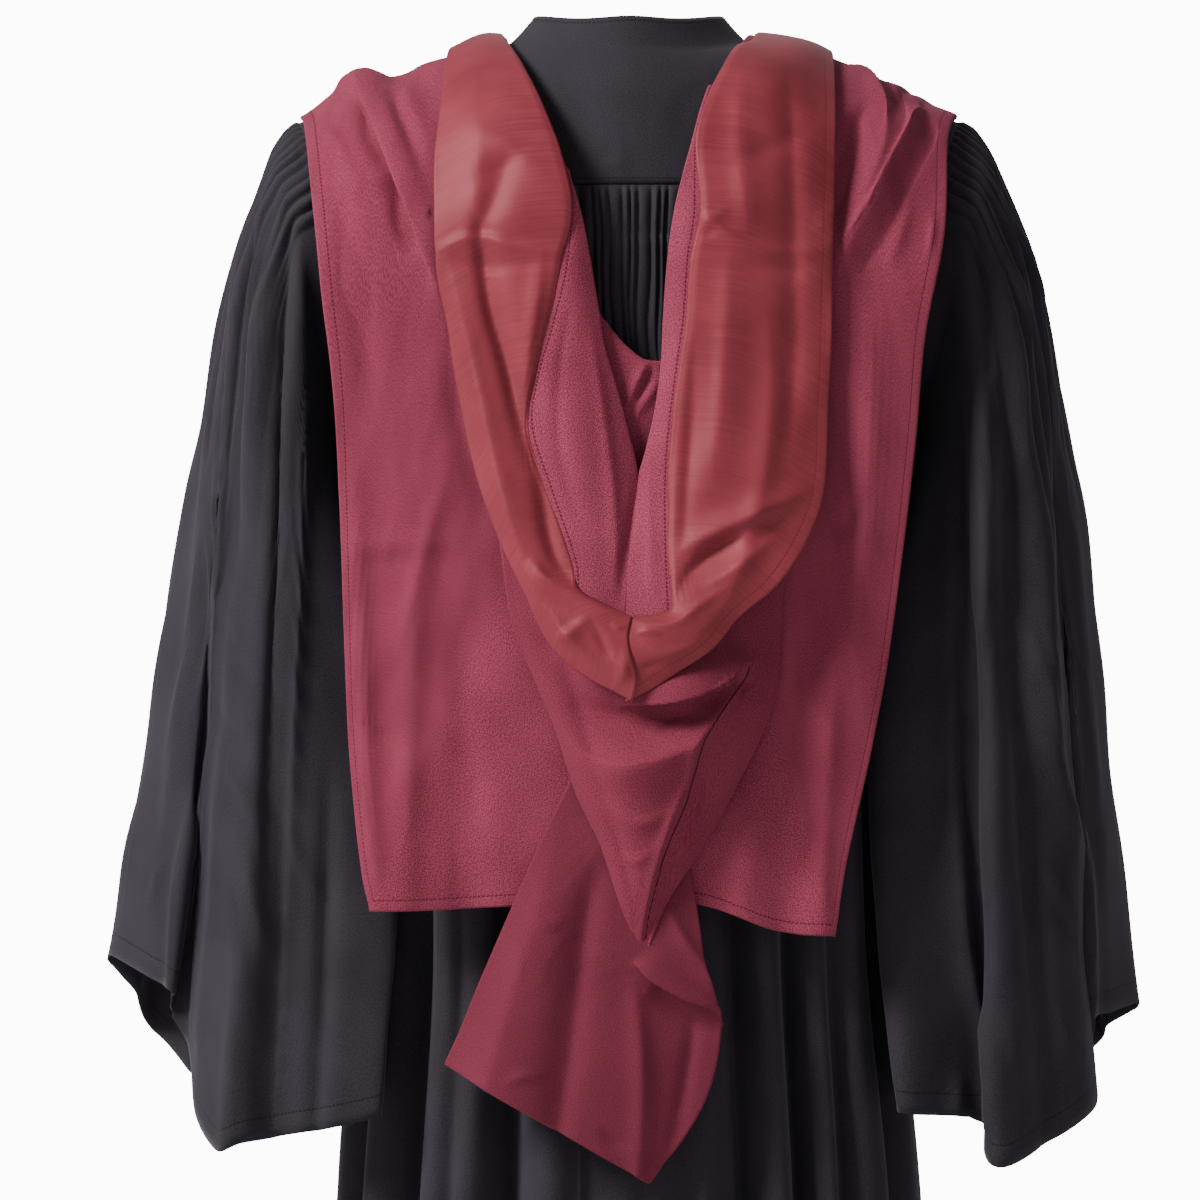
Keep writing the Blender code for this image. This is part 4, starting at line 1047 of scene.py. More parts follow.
CAPE_FOLDS = (
    # x, z, half width on the left or below, half width on the right or above, height (mm)
    ((-216, -86, 8, 8, 0), (-205, -137, 10, 10, -4), (-193, -209, 12, 12, -4), (-186, -281, 12, 12, 0)),
    ((-151, -360, 10, 10, 0), (-157, -475, 14, 12, 4.5), (-160, -562, 15, 11, 6), (-163, -624, 15, 11, 6)),
    ((-121, -418, 10, 10, 0), (-118, -518, 12, 11, -4.5), (-115, -624, 12, 11, -6)),
    ((-200, -281, 8, 8, 0), (-194, -403, 8, 9, 3.5), (-189, -518, 8, 9, 4.5), (-180, -624, 8, 9, 3)),
    ((171, -187, 10, 10, 0), (174, -274, 12, 14, 4), (167, -374, 12, 14, 4), (156, -475, 12, 12, 0)),
    ((131, -360, 10, 10, 0), (127, -475, 12, 10, -4.5), (120, -562, 12, 10, -6), (112, -638, 12, 10, -6)),
    ((147, -418, 8, 8, 0), (143, -518, 9, 8, 4), (137, -641, 9, 8, 4)),
    ((88, -533, 8, 8, 0), (84, -590, 9, 9, 4), (78, -634, 9, 9, 4)),
    ((-115, -144, 10, 10, 0), (-128, -209, 10, 10, -3), (-121, -281, 10, 10, -3), (-101, -346, 8, 8, 0)),
    ((-225, -105, 6, 5, 0), (-205, -103, 8, 5, 2.6), (-184, -101, 8, 5, 2.4), (-167, -102, 6, 5, 0)),
    ((-210, -364, 7, 6, 0), (-184, -364, 9, 6, 2.2), (-151, -362, 9, 6, 2.2), (-118, -364, 7, 6, 0)),
    ((14, -232, 3, 3, 0), (9, -240, 4, 2.5, 2.6), (3, -252, 4, 2.5, 2.6), (-4, -265, 3, 3, 1.5), (-6, -271, 3, 3, 0)),
    ((18, -235, 2.5, 2.5, 0), (13, -243, 2.5, 2.5, -3), (7, -255, 2.5, 2.5, -3), (1, -268, 2.5, 2.5, 0)),
    ((22, -245, 2.5, 2.5, 0), (16, -253, 3, 3, 2.4), (7, -265, 3, 3, 2.4), (3, -274, 2.5, 2.5, 0)),
    ((-205, -376, 8, 8, 0), (-173, -374, 9, 9, -1.6), (-144, -379, 8, 8, 0)),
    ((-166, -446, 8, 8, 0), (-150, -374, 9, 9, 3), (-130, -302, 8, 8, 0)),
    ((7, -622, 6, 6, 0), (-22, -612, 7, 7, 2.2), (-56, -605, 6, 6, 0)),
    ((-202, -475, 5, 5, 0), (-176, -500, 6, 6, -1.8), (-144, -508, 5, 5, 0)),
    ((180, -317, 6, 6, 0), (158, -346, 7, 7, -2), (137, -353, 6, 6, 0)),
)
CAPE_LAPS = (
    # x, way up over the cloth from the shoulder's ridge, width, width, lap (mm)
    (
        (-207, -0, 4, 4, 0),
        (-199, -59, 4, 4, 4),
        (-192, -83, 4, 4, 5),
        (-184, -110, 4, 4, 6),
        (-175, -138, 4, 4, 6.5),
        (-166, -166, 4, 4, 6),
        (-156, -193, 4, 4, 5),
        (-148, -218, 4, 4, 4),
        (-139, -246, 4, 4, 0),
    ),
    (
        (224, -53, 4, 4, 0),
        (217, -74, 4, 4, -4),
        (212, -95, 4, 4, -4.5),
        (199, -131, 4, 4, -4.5),
        (188, -157, 4, 4, -4),
        (179, -180, 4, 4, -3),
        (165, -206, 4, 4, -3),
        (155, -225, 4, 4, 0),
    ),
    ((182, -0, 3, 3, 0), (188, -28, 3, 3, -3.5), (195, -62, 3, 3, -4), (194, -91, 3, 3, -3), (187, -121, 3, 3, 0)),
)


def laid(rows):
    """A table's rows in metres: x, the way down the back, and lift of both edges, and the belly between them."""
    rows = np.array(rows, float) / 1000
    left = np.stack([rows[:, 0], way_down(rows[:, 0], rows[:, 1], HOOD_SKIN), rows[:, 2]], axis=-1)
    right = np.stack([rows[:, 3], way_down(rows[:, 3], rows[:, 4], HOOD_SKIN), rows[:, 5]], axis=-1)
    return left, right, rows[:, 6]


def between(left, right, belly, rows, columns):
    """Base of a hood piece: straight across between two edge curves, and the lift that its belly adds.

    The rows are spread evenly along the two edges, and the tables' own rows are kept among them. The way down the
    back is carried across less the height of the shoulder line.
    """
    keys = np.arange(len(left), dtype=float)
    left, right = left.copy(), right.copy()
    for edge in (left, right):
        edge[:, 1] -= shoulder_line(edge[:, 0])
    fine = np.linspace(0, len(left) - 1, 2000)
    walked = sum(lengths(through(keys, edge[:, :2], fine), 0) for edge in (left, right))
    at = np.unique(np.r_[keys, np.interp(np.linspace(0, walked[-1], rows), walked, fine)])
    left, right, belly = through(keys, left, at), through(keys, right, at), through(keys, belly, at)
    across = np.linspace(0, 1, columns)[None, :]
    flat = left[:, None] * (1 - across[..., None]) + right[:, None] * across[..., None]
    flat[..., 1] += shoulder_line(flat[..., 0])
    return flat[..., 0], flat[..., 1], flat[..., 2] + belly[:, None] * np.sin(np.pi * across), across


def shoulder_rise(x, way):
    """How far the hood stands off the shoulder: the table's curve in x, which drifts inwards and fades down the back.

    It fades with the exponential of the square of the way over 60 mm behind the ridge and over 30 mm in front.
    """
    table = np.array(SHOULDER_RISE, float) / 1000
    drawn = x + 0.26 * np.sign(x) * np.clip(way, 0, None)
    return through(table[:, 0], table[:, 1], drawn) * np.exp(-((way / np.where(way > 0, 0.060, 0.030)) ** 2))


def facing_out(grid):
    """The same sheet with its columns turned round if it would face the body instead of outwards."""
    return grid[:, ::-1] if outward(grid)[..., 1].mean() > 0 else grid


def hood_wool(name, stitch_at=None, pale=MAROON_PALE, thread=MAROON_THREAD):
    """Maroon wool: a dry twill with a lighter bloom, and stitches in darker thread of its own colour."""
    return cloth_finish(
        name, MAROON_DEEP, pale, 0.86, 0.75, 1.35, 0.25, thread, stitch_at, sheen=0.06, tint=(1.0, 0.50, 0.62), gloss=0.15
    )


neck, outer, belly = laid(CAPE)
over = np.array(CAPE_SHOULDER, float) / 1000
for side in (-1, 1):
    rows = over if side > 0 else over[::-1]
    ends = np.stack([rows[:, 0] * side, rows[:, 2], np.zeros(len(rows))], axis=-1)
    far = np.stack([rows[:, 1] * side, rows[:, 2], np.zeros(len(rows))], axis=-1)
    none = np.zeros(len(rows))
    if side < 0:
        neck, outer, belly = np.r_[ends, neck], np.r_[far, outer], np.r_[none, belly]
    else:
        neck, outer, belly = np.r_[neck, ends], np.r_[outer, far], np.r_[belly, none]
x, way, lift, across = between(neck, outer, belly, 270, 118)
flat = figure(x, way, HOOD_SKIN)
lift = lift + folds(x, flat[..., 2], CAPE_FOLDS) * ease(0.0, 0.03, way)
lift = lift + shoulder_rise(x, way) + folds(x, -way, SHOULDER_FOLDS)
lift = lift + rumple(x, flat[..., 2], 51, 0.0014) * ease(0, 0.25, across)
aside, up = laps(x, -way, CAPE_LAPS)
cape_points = figure(x + aside, way - up, HOOD_SKIN, np.clip(lift, -0.004, None) + 0.0018)
cape_points = facing_out(cape_points.transpose(1, 0, 2))
cape_points = rolled(cape_points, 0.0018, bottom=True)
to_rim = lengths(cape_points, 0)
cape = cloth_piece(
    "cape",
    cape_points,
    hood_wool("cape_wool", 0.0125),
    HOOD_CLOTH,
    hem=to_rim[-1:] - to_rim,
    run=lengths(cape_points, 1),
)
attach(cape, "root")
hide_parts("hood_cape")


# The cowl's inner lining is the same maroon wool: two folds that stand up inside the satin, seamed flush to it, and
# meet in a narrow V.

LINING_LEFT = (
    # x, z, lift of the left edge, x, z, lift of the right edge, belly between them (mm)
    (-49, -88, 11, -45, -96, 11, 0),
    (-48, -106, 12, -40, -111, 10, 0),
    (-48, -122, 12.3, -36, -124, 8.7, 1),
    (-50, -149, 13, -32, -142, 8, 2),
    (-56, -180, 14, -24, -188, 7, 4),
    (-65, -215, 15, -19, -220, 7, 5),
    (-73, -243, 15.5, -10, -251, 8, 6),
    (-77, -280, 17.4, -4, -274, 9, 7),
    (-62, -328, 21.4, 5, -317, 11, 6),
    (-46, -376, 30, -1, -364, 23, 3),
    (-44, -402, 39, -5, -426, 42.2, 1),
)
LINING_RIGHT = (
    # x, z, lift of the left edge, x, z, lift of the right edge, belly between them (mm)
    (58, -36, 8, 66, -36, 8.6, 0),
    (51.5, -54, 8.6, 60, -53, 9.6, 0),
    (45, -77, 9, 54, -76, 12, 0),
    (39, -98, 9, 53, -94, 12.6, 0),
    (32, -125, 8, 53, -125, 13.5, 2),
    (27, -160, 7, 48, -160, 14.4, 3),
    (24, -202, 7, 45, -202, 14.4, 3),
    (22, -238, 8, 40, -235, 15.4, 3),
    (16, -277, 9, 35, -274, 17.4, 3),
    (5, -317, 10, 32, -317, 21.4, 3),
    (-8, -364, 20, 32, -364, 30.6, 2),
    (-14, -424, 40, 34, -416, 40.6, 0.5),
)
LINING_FOLDS = (
    # x, z, half width on the left or below, half width on the right or above, height (mm)
    ((-29, -202, 4, 4, 0), (-20, -259, 5, 3, 2), (-13, -310, 6, 3, 2.6), (-10, -360, 6, 4, 2), (-13, -403, 5, 4, 0)),
    ((6, -310, 2.5, 2.5, 0), (1, -346, 3, 3, -2.4), (-4, -374, 3, 3, -2), (-7, -408, 3, 3, 0)),
    ((16, -187, 4, 4, 0), (14, -245, 3, 5, 1.8), (12, -302, 3, 5, 2.2), (14, -374, 4, 5, 1.6), (16, -408, 4, 4, 0)),
    ((-42, -187, 3, 3, 0), (-50, -238, 4, 4, -1.5), (-50, -295, 5, 5, -2), (-32, -360, 4, 4, 0)),
)


def hood_piece(name, table, rows, columns, swell, material, rolls, stitched=("left", "right"), lapped=(), sway=None):
    """A hood piece from its table: the sheet between its edges, swelled by a function of x, way, z and share across.

    Laps push steep folds over their valleys, and a sway function of x and z moves points sideways.
    """
    left, right, belly = table
    x, way, lift, across = between(left, right, belly, rows, columns)
    level = figure(x, way, HOOD_SKIN, lift)[..., 2]
    aside, up = laps(x, level, lapped)
    if sway:
        aside = aside + sway(x, level)
    grid = facing_out(figure(x + aside, way - up, HOOD_SKIN, lift + 0.0018 + swell(x, way, level, across)))
    grid = rolled(grid, 0.0016, **rolls)
    along = lengths(grid, 1)
    to_edge = np.full(along.shape, 1.0)
    if "left" in stitched:
        to_edge = np.minimum(to_edge, along)
    if "right" in stitched:
        to_edge = np.minimum(to_edge, along[:, -1:] - along)
    return cloth_piece(name, grid, material, HOOD_CLOTH, hem=to_edge, run=lengths(grid, 0))


def lining_swell(x, way, z, across):
    """Placed folds over a faint rumple."""
    return folds(x, z, LINING_FOLDS) + rumple(x * 2, z, 61, 0.0005)


for name, table, fold, seam, flat, area in (
    ("lining_left", LINING_LEFT, "right", "left", (0.065, 0.32), 0.0175),
    ("lining_right", LINING_RIGHT, "left", "right", (0.036, 0.32), 0.0100),
):
    # The linings are the cape's maroon painted paler: painted light, so that the wool deep between the satin facings
    # looks as bright as the cape.
    wool = hood_wool(name + "_wool", 0.0072, (0.340, 0.060, 0.102))
    lining = hood_piece(name, laid(table), 120, 36, lining_swell, wool, {fold: True}, (seam,))
    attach(lining, "root")
    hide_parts("hood_" + name)


# The cowl's facing is rose satin, cut on the bias and turned out over the cape on both sides. It is folded at its
# outer edge, seamed to the lining at its inner edge and seamed to itself at the bottom of the loop.

ROSE_DEEP = (0.110, 0.014, 0.021)
ROSE_PALE = (0.275, 0.044, 0.058)
ROSE_THREAD = (0.16, 0.018, 0.022)
SATIN_LEFT = (
    # x, z, lift of the left edge, x, z, lift of the right edge, belly between them (mm)
    (-133, -9, 5, -90, 4, 3, 3),
    (-137, -48, 5, -76, -20, 5, 5),
    (-140, -86, 9, -61, -54, 10, 5.4),
    (-140, -125, 10, -49, -86, 13, 5.4),
    (-139, -155, 9.5, -41, -124, 14.2, 5.4),
    (-136, -180, 9, -49, -160, 15.2, 4.8),
    (-130, -209, 10, -55, -194, 16.2, 4.2),
    (-122, -257, 13, -67, -239, 17.2, 4.2),
    (-108, -319, 20, -73, -282, 19.2, 3.6),
    (-92, -362, 29, -57, -328, 23.2, 4.2),
    (-73, -402, 37, -41, -374, 31.2, 4),
    (-55, -436, 42, -38, -393, 39.2, 5),
    (-28, -459, 45, -21, -405, 43.2, 6),
    (1.4, -474, 47, 1.4, -415, 44.2, 6),
)
SATIN_RIGHT = (
    # x, z, lift of the left edge, x, z, lift of the right edge, belly between them (mm)
    (91, 4, 3, 150, -11, 5, 3),
    (78, -3, 5, 149, -41, 6, 5),
    (67, -22, 8, 148, -65, 8, 5.4),
    (54, -50, 11, 147, -94, 8, 5.4),
    (47, -79, 14, 146, -119, 8, 5.4),
    (50, -122, 15.2, 145, -148, 8, 4.8),
    (43, -160, 16.2, 144, -187, 9, 4.8),
    (40, -202, 16.2, 143, -230, 10, 4.8),
    (35, -235, 17.2, 141, -266, 12, 4.8),
    (30, -274, 19.2, 138, -323, 18, 4.8),
    (27, -317, 23.2, 126, -358, 26, 4.8),
    (27, -364, 32.2, 105, -390, 36, 4.2),
    (29, -402, 40.8, 76, -415, 40, 6),
    (24, -412, 42.8, 53, -441, 42, 7.5),
    (-2.4, -415, 43.2, -2.4, -474, 45.8, 6),
)
SATIN_SHOULDER = (
    # neck x, outer x on the left, on the right, way from the shoulder ridge, lifts of both edges, belly (mm)
    (96, 127, 142, -55, 2, 3, 3),
    (94, 129, 146, -20, 3, 5, 5),
)
LEFT_SATIN_FOLDS = (
    # x, z, half width on the left or below, half width on the right or above, height (mm)
    (
        (-109, -124, 5, 5, 0),
        (-107, -144, 6, 9, -5),
        (-102, -187, 6, 11, -7.5),
        (-90, -230, 6, 11, -7.5),
        (-79, -274, 6, 9, -6),
        (-69, -315, 5, 6, 0),
    ),
    (
        (-131, -151, 5, 6, 0),
        (-125, -187, 6, 8, 3.5),
        (-109, -252, 7, 8, 4.5),
        (-95, -317, 7, 9, 4.5),
        (-75, -382, 8, 10, 3.5),
        (-46, -428, 8, 9, 0),
    ),
    ((-64, -151, 5, 6, 0), (-66, -187, 7, 6, 3.4), (-72, -227, 7, 5, 3.8), (-76, -259, 6, 5, 2.4), (-75, -281, 5, 5, 0)),
    ((-115, -14, 8, 8, 0), (-112, -50, 10, 10, 1.6), (-108, -94, 10, 10, 1.8), (-105, -126, 8, 8, 0)),
    ((-71, -288, 4, 4, 0), (-63, -324, 6, 8, -5), (-58, -357, 6, 8, -6), (-49, -380, 5, 6, -3.5), (-32, -396, 4, 4, 0)),
    ((-72, -372, 5, 4, 0), (-60, -387, 10, 3.5, 4.5), (-39, -397, 10, 3.5, 5), (-20, -408, 10, 3.5, 4.5), (-4, -417, 6, 3, 1)),
    (
        (-144, -156, 8, 2.8, 1.5),
        (-130, -148, 8, 2.8, 3),
        (-117, -143, 8, 2.8, 3.6),
        (-105, -143, 8, 2.8, 3.6),
        (-94, -146, 8, 2.8, 3.4),
        (-79, -150, 8, 2.8, 3),
        (-61, -152, 8, 2.8, 2.8),
        (-43, -153, 8, 2.8, 2),
    ),
    ((-85, -79, 7, 7, 0), (-92, -99, 9, 9, -2.4), (-101, -121, 9, 9, -4), (-108, -138, 7, 6, -2)),
    ((-115, -79, 9, 9, 0), (-112, -108, 10, 9, 1.8), (-108, -131, 9, 8, 1.8)),
    ((-137, -160, 6, 6, 0), (-94, -163, 7, 7, -1.8), (-50, -160, 6, 6, 0)),
    ((-126, -58, 8, 8, 0), (-86, -79, 9, 9, 1.4), (-50, -108, 8, 8, 0)),
    ((-130, -108, 8, 8, 0), (-97, -94, 8, 8, -2), (-65, -72, 8, 8, 0)),
    ((-56, -433, 4, 4, 0), (-45, -426, 8, 2.5, 4.5), (-29, -415, 4, 3, 0)),
    ((-13, -419, 2, 2, 0), (-7, -422, 2, 2, 2), (-1, -422, 2, 2, 0)),
    ((-14, -468, 2.5, 2.5, 0), (-6, -452, 3, 3, 2.6), (-1, -436, 2.5, 2.5, 0)),
    ((-17, -439, 3, 3, 0), (-10, -449, 4, 4, 2.4), (-3, -462, 3, 3, 0)),
    ((-29, -415, 3, 3, 0), (-19, -432, 4, 4, -2), (-9, -455, 3, 3, 0)),
    ((-65, -403, 5, 5, 0), (-46, -429, 6, 6, 3), (-22, -449, 5, 5, 0)),
)
RIGHT_SATIN_FOLDS = (
    # x, z, half width on the left or below, half width on the right or above, height (mm)
    ((81, -14, 7, 8, 0), (78, -65, 9, 12, 3), (82, -115, 9, 12, 3.6), (85, -144, 9, 10, 0)),
    ((115, -14, 7, 7, 0), (117, -79, 9, 7, -3), (118, -158, 10, 7, -3.4), (117, -245, 10, 7, -3.4), (109, -310, 8, 7, 0)),
    ((71, -140, 8, 8, 0), (68, -202, 8, 14, 3.6), (63, -274, 8, 15, 4.4), (55, -331, 8, 10, 0)),
    ((46, -209, 4, 4, 0), (44, -259, 4, 6, -3), (40, -317, 4, 6, -3.6), (36, -374, 4, 5, 0)),
    ((99, -187, 8, 8, 0), (101, -259, 9, 10, 2.8), (92, -331, 9, 9, 3.4), (72, -396, 8, 8, 2.4), (43, -432, 6, 6, 0)),
    (
        (48, -124, 8, 2.8, 1.5),
        (66, -138, 8, 2.8, 3.4),
        (83, -148, 8, 2.8, 3.4),
        (104, -152, 8, 2.8, 3),
        (128, -152, 8, 2.8, 2.6),
        (148, -151, 8, 2.8, 1.5),
    ),
    ((131, -127, 3, 1.4, 0), (138, -127, 3, 1.4, 2), (148, -127, 3, 1.4, 2)),
    ((131, -134, 3, 1.4, 0), (138, -134, 3, 1.4, 2), (148, -134, 3, 1.4, 2)),
    ((61, -161, 6, 6, 0), (102, -166, 7, 7, -1.8), (143, -163, 6, 6, 0)),
    ((50, -134, 2.5, 2.5, 0), (59, -129, 3, 3, 2.8), (71, -125, 2.5, 2.5, 0)),
    ((48, -144, 2.5, 2.5, 0), (56, -140, 3, 3, -2.2), (66, -138, 2.5, 2.5, 0)),
    ((30, -372, 4, 6, 0), (50, -360, 5, 10, 5), (76, -348, 5, 10, 6.5), (104, -336, 5, 10, 6), (131, -323, 4, 8, 0)),
    ((29, -403, 6, 5, 0), (43, -383, 9, 5, -6), (62, -366, 9, 5, -6), (82, -357, 7, 4, 0)),
    ((50, -396, 6, 5, 0), (76, -379, 8, 5, 4), (111, -351, 6, 4, 0)),
    ((3, -419, 3, 3, 0), (17, -420, 5, 3, 2.8), (32, -418, 5, 3, 3), (49, -406, 5, 3, 2.6), (76, -389, 4, 3, 0)),
    ((7, -426, 2, 2, 0), (14, -425, 2.5, 2, 2.4), (24, -428, 2, 2, 0)),
    ((7, -432, 3, 3, 0), (27, -441, 8, 4, 3), (53, -432, 5, 4, 0)),
    ((4, -452, 3, 3, 0), (16, -449, 3, 3, -2), (30, -451, 3, 3, 0)),
    ((65, -43, 8, 8, 0), (105, -63, 9, 9, 2.4), (144, -79, 8, 8, 0)),
    ((62, -94, 8, 8, 0), (99, -79, 8, 8, -2), (137, -58, 8, 8, 0)),
)


def rose_satin(name, stitch_at):
    """Satin: fine weft lines across a smooth face, whose gloss changes a little with every fold."""
    return cloth_finish(
        name, ROSE_DEEP, ROSE_PALE, 0.47, 0.42, 0.35, 0.18, ROSE_THREAD, stitch_at, tint=(1.0, 0.44, 0.45), gloss=0.28, slub=0.6
    )


for side, table, flat, area in ((-1, SATIN_LEFT, (0.11, 0.56), 0.048), (1, SATIN_RIGHT, (0.13, 0.56), 0.062)):
    name = "satin_left" if side < 0 else "satin_right"
    left, right, belly = laid(table)
    over = np.array(SATIN_SHOULDER, float) / 1000
    neck = np.stack([over[:, 0] * side, over[:, 3], over[:, 4]], axis=-1)
    outer = np.stack([over[:, 1 if side < 0 else 2] * side, over[:, 3], over[:, 5]], axis=-1)
    left, right = (np.r_[outer, left], np.r_[neck, right]) if side < 0 else (np.r_[neck, left], np.r_[outer, right])
    satin_folds = LEFT_SATIN_FOLDS if side < 0 else RIGHT_SATIN_FOLDS

    def satin_swell(x, way, z, across):
        """Placed folds and press marks over a slow swell that runs along the facing, and the rise of the shoulder."""
        placed = folds(x, z, satin_folds) * ease(-0.01, 0.03, way) * np.sin(np.pi * across) ** 0.4
        placed = placed - 0.0014 * (1 - ease(0.0, 0.06, 1 - across if side < 0 else across))
        return placed + shoulder_rise(x, way) + rumple(x, z, 71, 0.0012) * np.sin(np.pi * across) ** 0.6

    def seam_sway(x, z):
        """Sideways wander of the centre seam: one sine over the seam's height, dying out over 20 mm on either side."""
        return -0.0030 * np.sin(2 * np.pi * (-0.415 - z) / 0.059) * np.exp(-((x / 0.020) ** 2))

    hem_side = "left" if side < 0 else "right"
    satin = hood_piece(
        name,
        (left, right, np.r_[over[:, 6], belly]),
        250,
        56,
        satin_swell,
        rose_satin(name + "_cloth", 0.0125),
        {hem_side: True},
        (hem_side,) if side > 0 else (),
        (),
        seam_sway,
    )
    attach(satin, "root")
    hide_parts("hood_" + name)


# The bag is the pouch of maroon wool that hangs below the satin: two shaped pieces seamed on the right, its folds
# running down to a point.

BAG = (
    # x, z, lift of the left edge, x, z, lift of the right edge, belly between them (mm)
    (-94, -353, 5, 122, -364, 5, 4),
    (-91, -372, 5, 110, -391, 5, 10),
    (-84, -420, 6, 108, -418, 6, 20),
    (-71, -454, 6, 107, -448, 6, 30),
    (-55, -492, 6, 99, -488, 6, 36),
    (-39, -541, 7, 72, -544, 7, 26),
    (-22, -577, 8.7, 53, -578, 8.7, 16),
    (-10, -613, 8.7, 29, -613, 8.7, 8),
    (-1, -638, 8.7, 16, -638, 8.7, 2),
    (5, -656, 8.4, 10, -656, 8.4, 0.5),
)
BAG_SEAM = (
    # x, z, reach, reach of the seam between the bag's two pieces (mm)
    (85, -452, 8, 8),
    (81, -461, 8, 8),
    (67, -480, 8, 8),
    (53, -503, 8, 8),
    (46, -526, 8, 8),
    (40, -547, 8, 8),
    (32, -566, 8, 8),
    (24, -586, 8, 8),
    (19, -605, 8, 8),
    (13, -630, 8, 8),
    (10, -655, 8, 8),
)
BAG_FOLDS = (
    # x, z, half width on the left or below, half width on the right or above, height (mm)
    (
        (86, -449, 4, 3, 0),
        (76, -468, 7, 2, 3.5),
        (62, -487, 7, 2, 5),
        (49, -507, 6, 2, 5),
        (42, -531, 6, 2, 5),
        (30, -560, 5, 2, 4.5),
        (19, -593, 5, 2, 3),
        (10, -631, 4, 2, 2),
        (7, -652, 3, 3, 0),
    ),
    (
        (-85, -389, 4, 8, 0),
        (-76, -423, 4, 9, 3.5),
        (-64, -461, 4, 9, 5),
        (-52, -491, 4, 10, 6),
        (-39, -526, 4, 9, 6),
        (-27, -560, 4, 8, 5),
        (-13, -599, 4, 7, 4),
        (0, -636, 4, 5, 0),
    ),
    ((-56, -449, 8, 8, 0), (-33, -477, 14, 12, -11), (-6, -487, 18, 14, -17), (24, -488, 16, 10, -13), (55, -484, 8, 8, 0)),
    (
        (-60, -471, 6, 4, 0),
        (-48, -499, 12, 6, 7),
        (-32, -513, 16, 6, 10),
        (-14, -520, 18, 6, 11),
        (12, -518, 18, 6, 10),
        (39, -510, 10, 5, 5),
        (53, -501, 6, 4, 0),
    ),
    (
        (-10, -478, 3, 6, 0),
        (3, -474, 3.4, 10, 5),
        (21, -471, 3.4, 12, 9),
        (48, -464, 3.4, 13, 12),
        (71, -454, 3.4, 13, 12),
        (80, -449, 3.4, 12, 10),
        (91, -444, 4, 8, 0),
    ),
    ((7, -485, 7, 3, 0), (24, -481, 11, 3, -9), (43, -477, 13, 3, -12), (62, -470, 13, 3, -13), (78, -462, 9, 3, -9), (88, -462, 5, 4, 0)),
    ((-50, -432, 5, 5, 0), (-40, -468, 6, 6, -3), (-23, -530, 6, 6, -3.6), (-6, -583, 5, 5, -3), (4, -623, 4, 4, 0)),
    ((99, -418, 4, 4, 0), (95, -468, 7, 4, 3.5), (78, -516, 7, 4, 4.5), (53, -566, 6, 4, 3.4), (24, -612, 4, 4, 0)),
    ((-30, -540, 4, 4, 0), (4, -562, 7, 5, 2.6), (30, -552, 4, 4, 0)),
    ((-22, -577, 3, 3, 0), (1, -589, 5, 4, 2), (19, -580, 3, 3, 0)),
    ((-85, -408, 6, 6, 0), (-60, -432, 6, 6, -3.4), (-22, -449, 6, 6, 0)),
)


BAG_LAPS = (
    # x, z, width, width, lap (mm)
    ((-10, -481, 3, 3, 0), (4, -477, 4, 4, 4), (21, -474, 4, 4, 6.5), (48, -467, 4, 4, 7.5), (71, -456, 4, 4, 7.5), (82, -451, 3, 3, 0)),
)


def bag_swell(x, way, z, across):
    """Placed folds and the sag of the pouch, over a faint rumple that dies out at both edges."""
    return (folds(x, z, BAG_FOLDS) + rumple(x * 1.3, z, 81, 0.0014)) * np.sin(np.pi * across) ** 0.5


bag_rolls = {"left": True, "right": True, "bottom": True}
# The bag's wool is the cape's maroon painted darker: painted shade for the pouch that hangs under the satin. Its darker
# thread marks the seam between the two pieces.
bag_shaded_wool = hood_wool("bag_shaded_wool", 0.0, (0.225, 0.036, 0.062), (0.035, 0.005, 0.010))
bag = hood_piece("bag", laid(BAG), 210, 78, bag_swell, bag_shaded_wool, bag_rolls, lapped=BAG_LAPS)
points = np.empty(len(bag.data.vertices) * 3, np.float32)
bag.data.vertices.foreach_get("co", points)
points = points.reshape(-1, 3)
near, _, offset, _ = beside(points[:, 0], points[:, 2], BAG_SEAM)
to_seam = np.ones(len(points), np.float32)
to_seam[near] = offset
bag.data.attributes["hem"].data.foreach_set("value", to_seam)
bag.data.attributes["run"].data.foreach_set("value", np.zeros(len(points), np.float32))
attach(bag, "root")
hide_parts("hood_bag")


# The tail is the end of the same cloth, cut to a slanted point. It comes out from behind the bag and is turned once,
# so its edge folds over on the right.

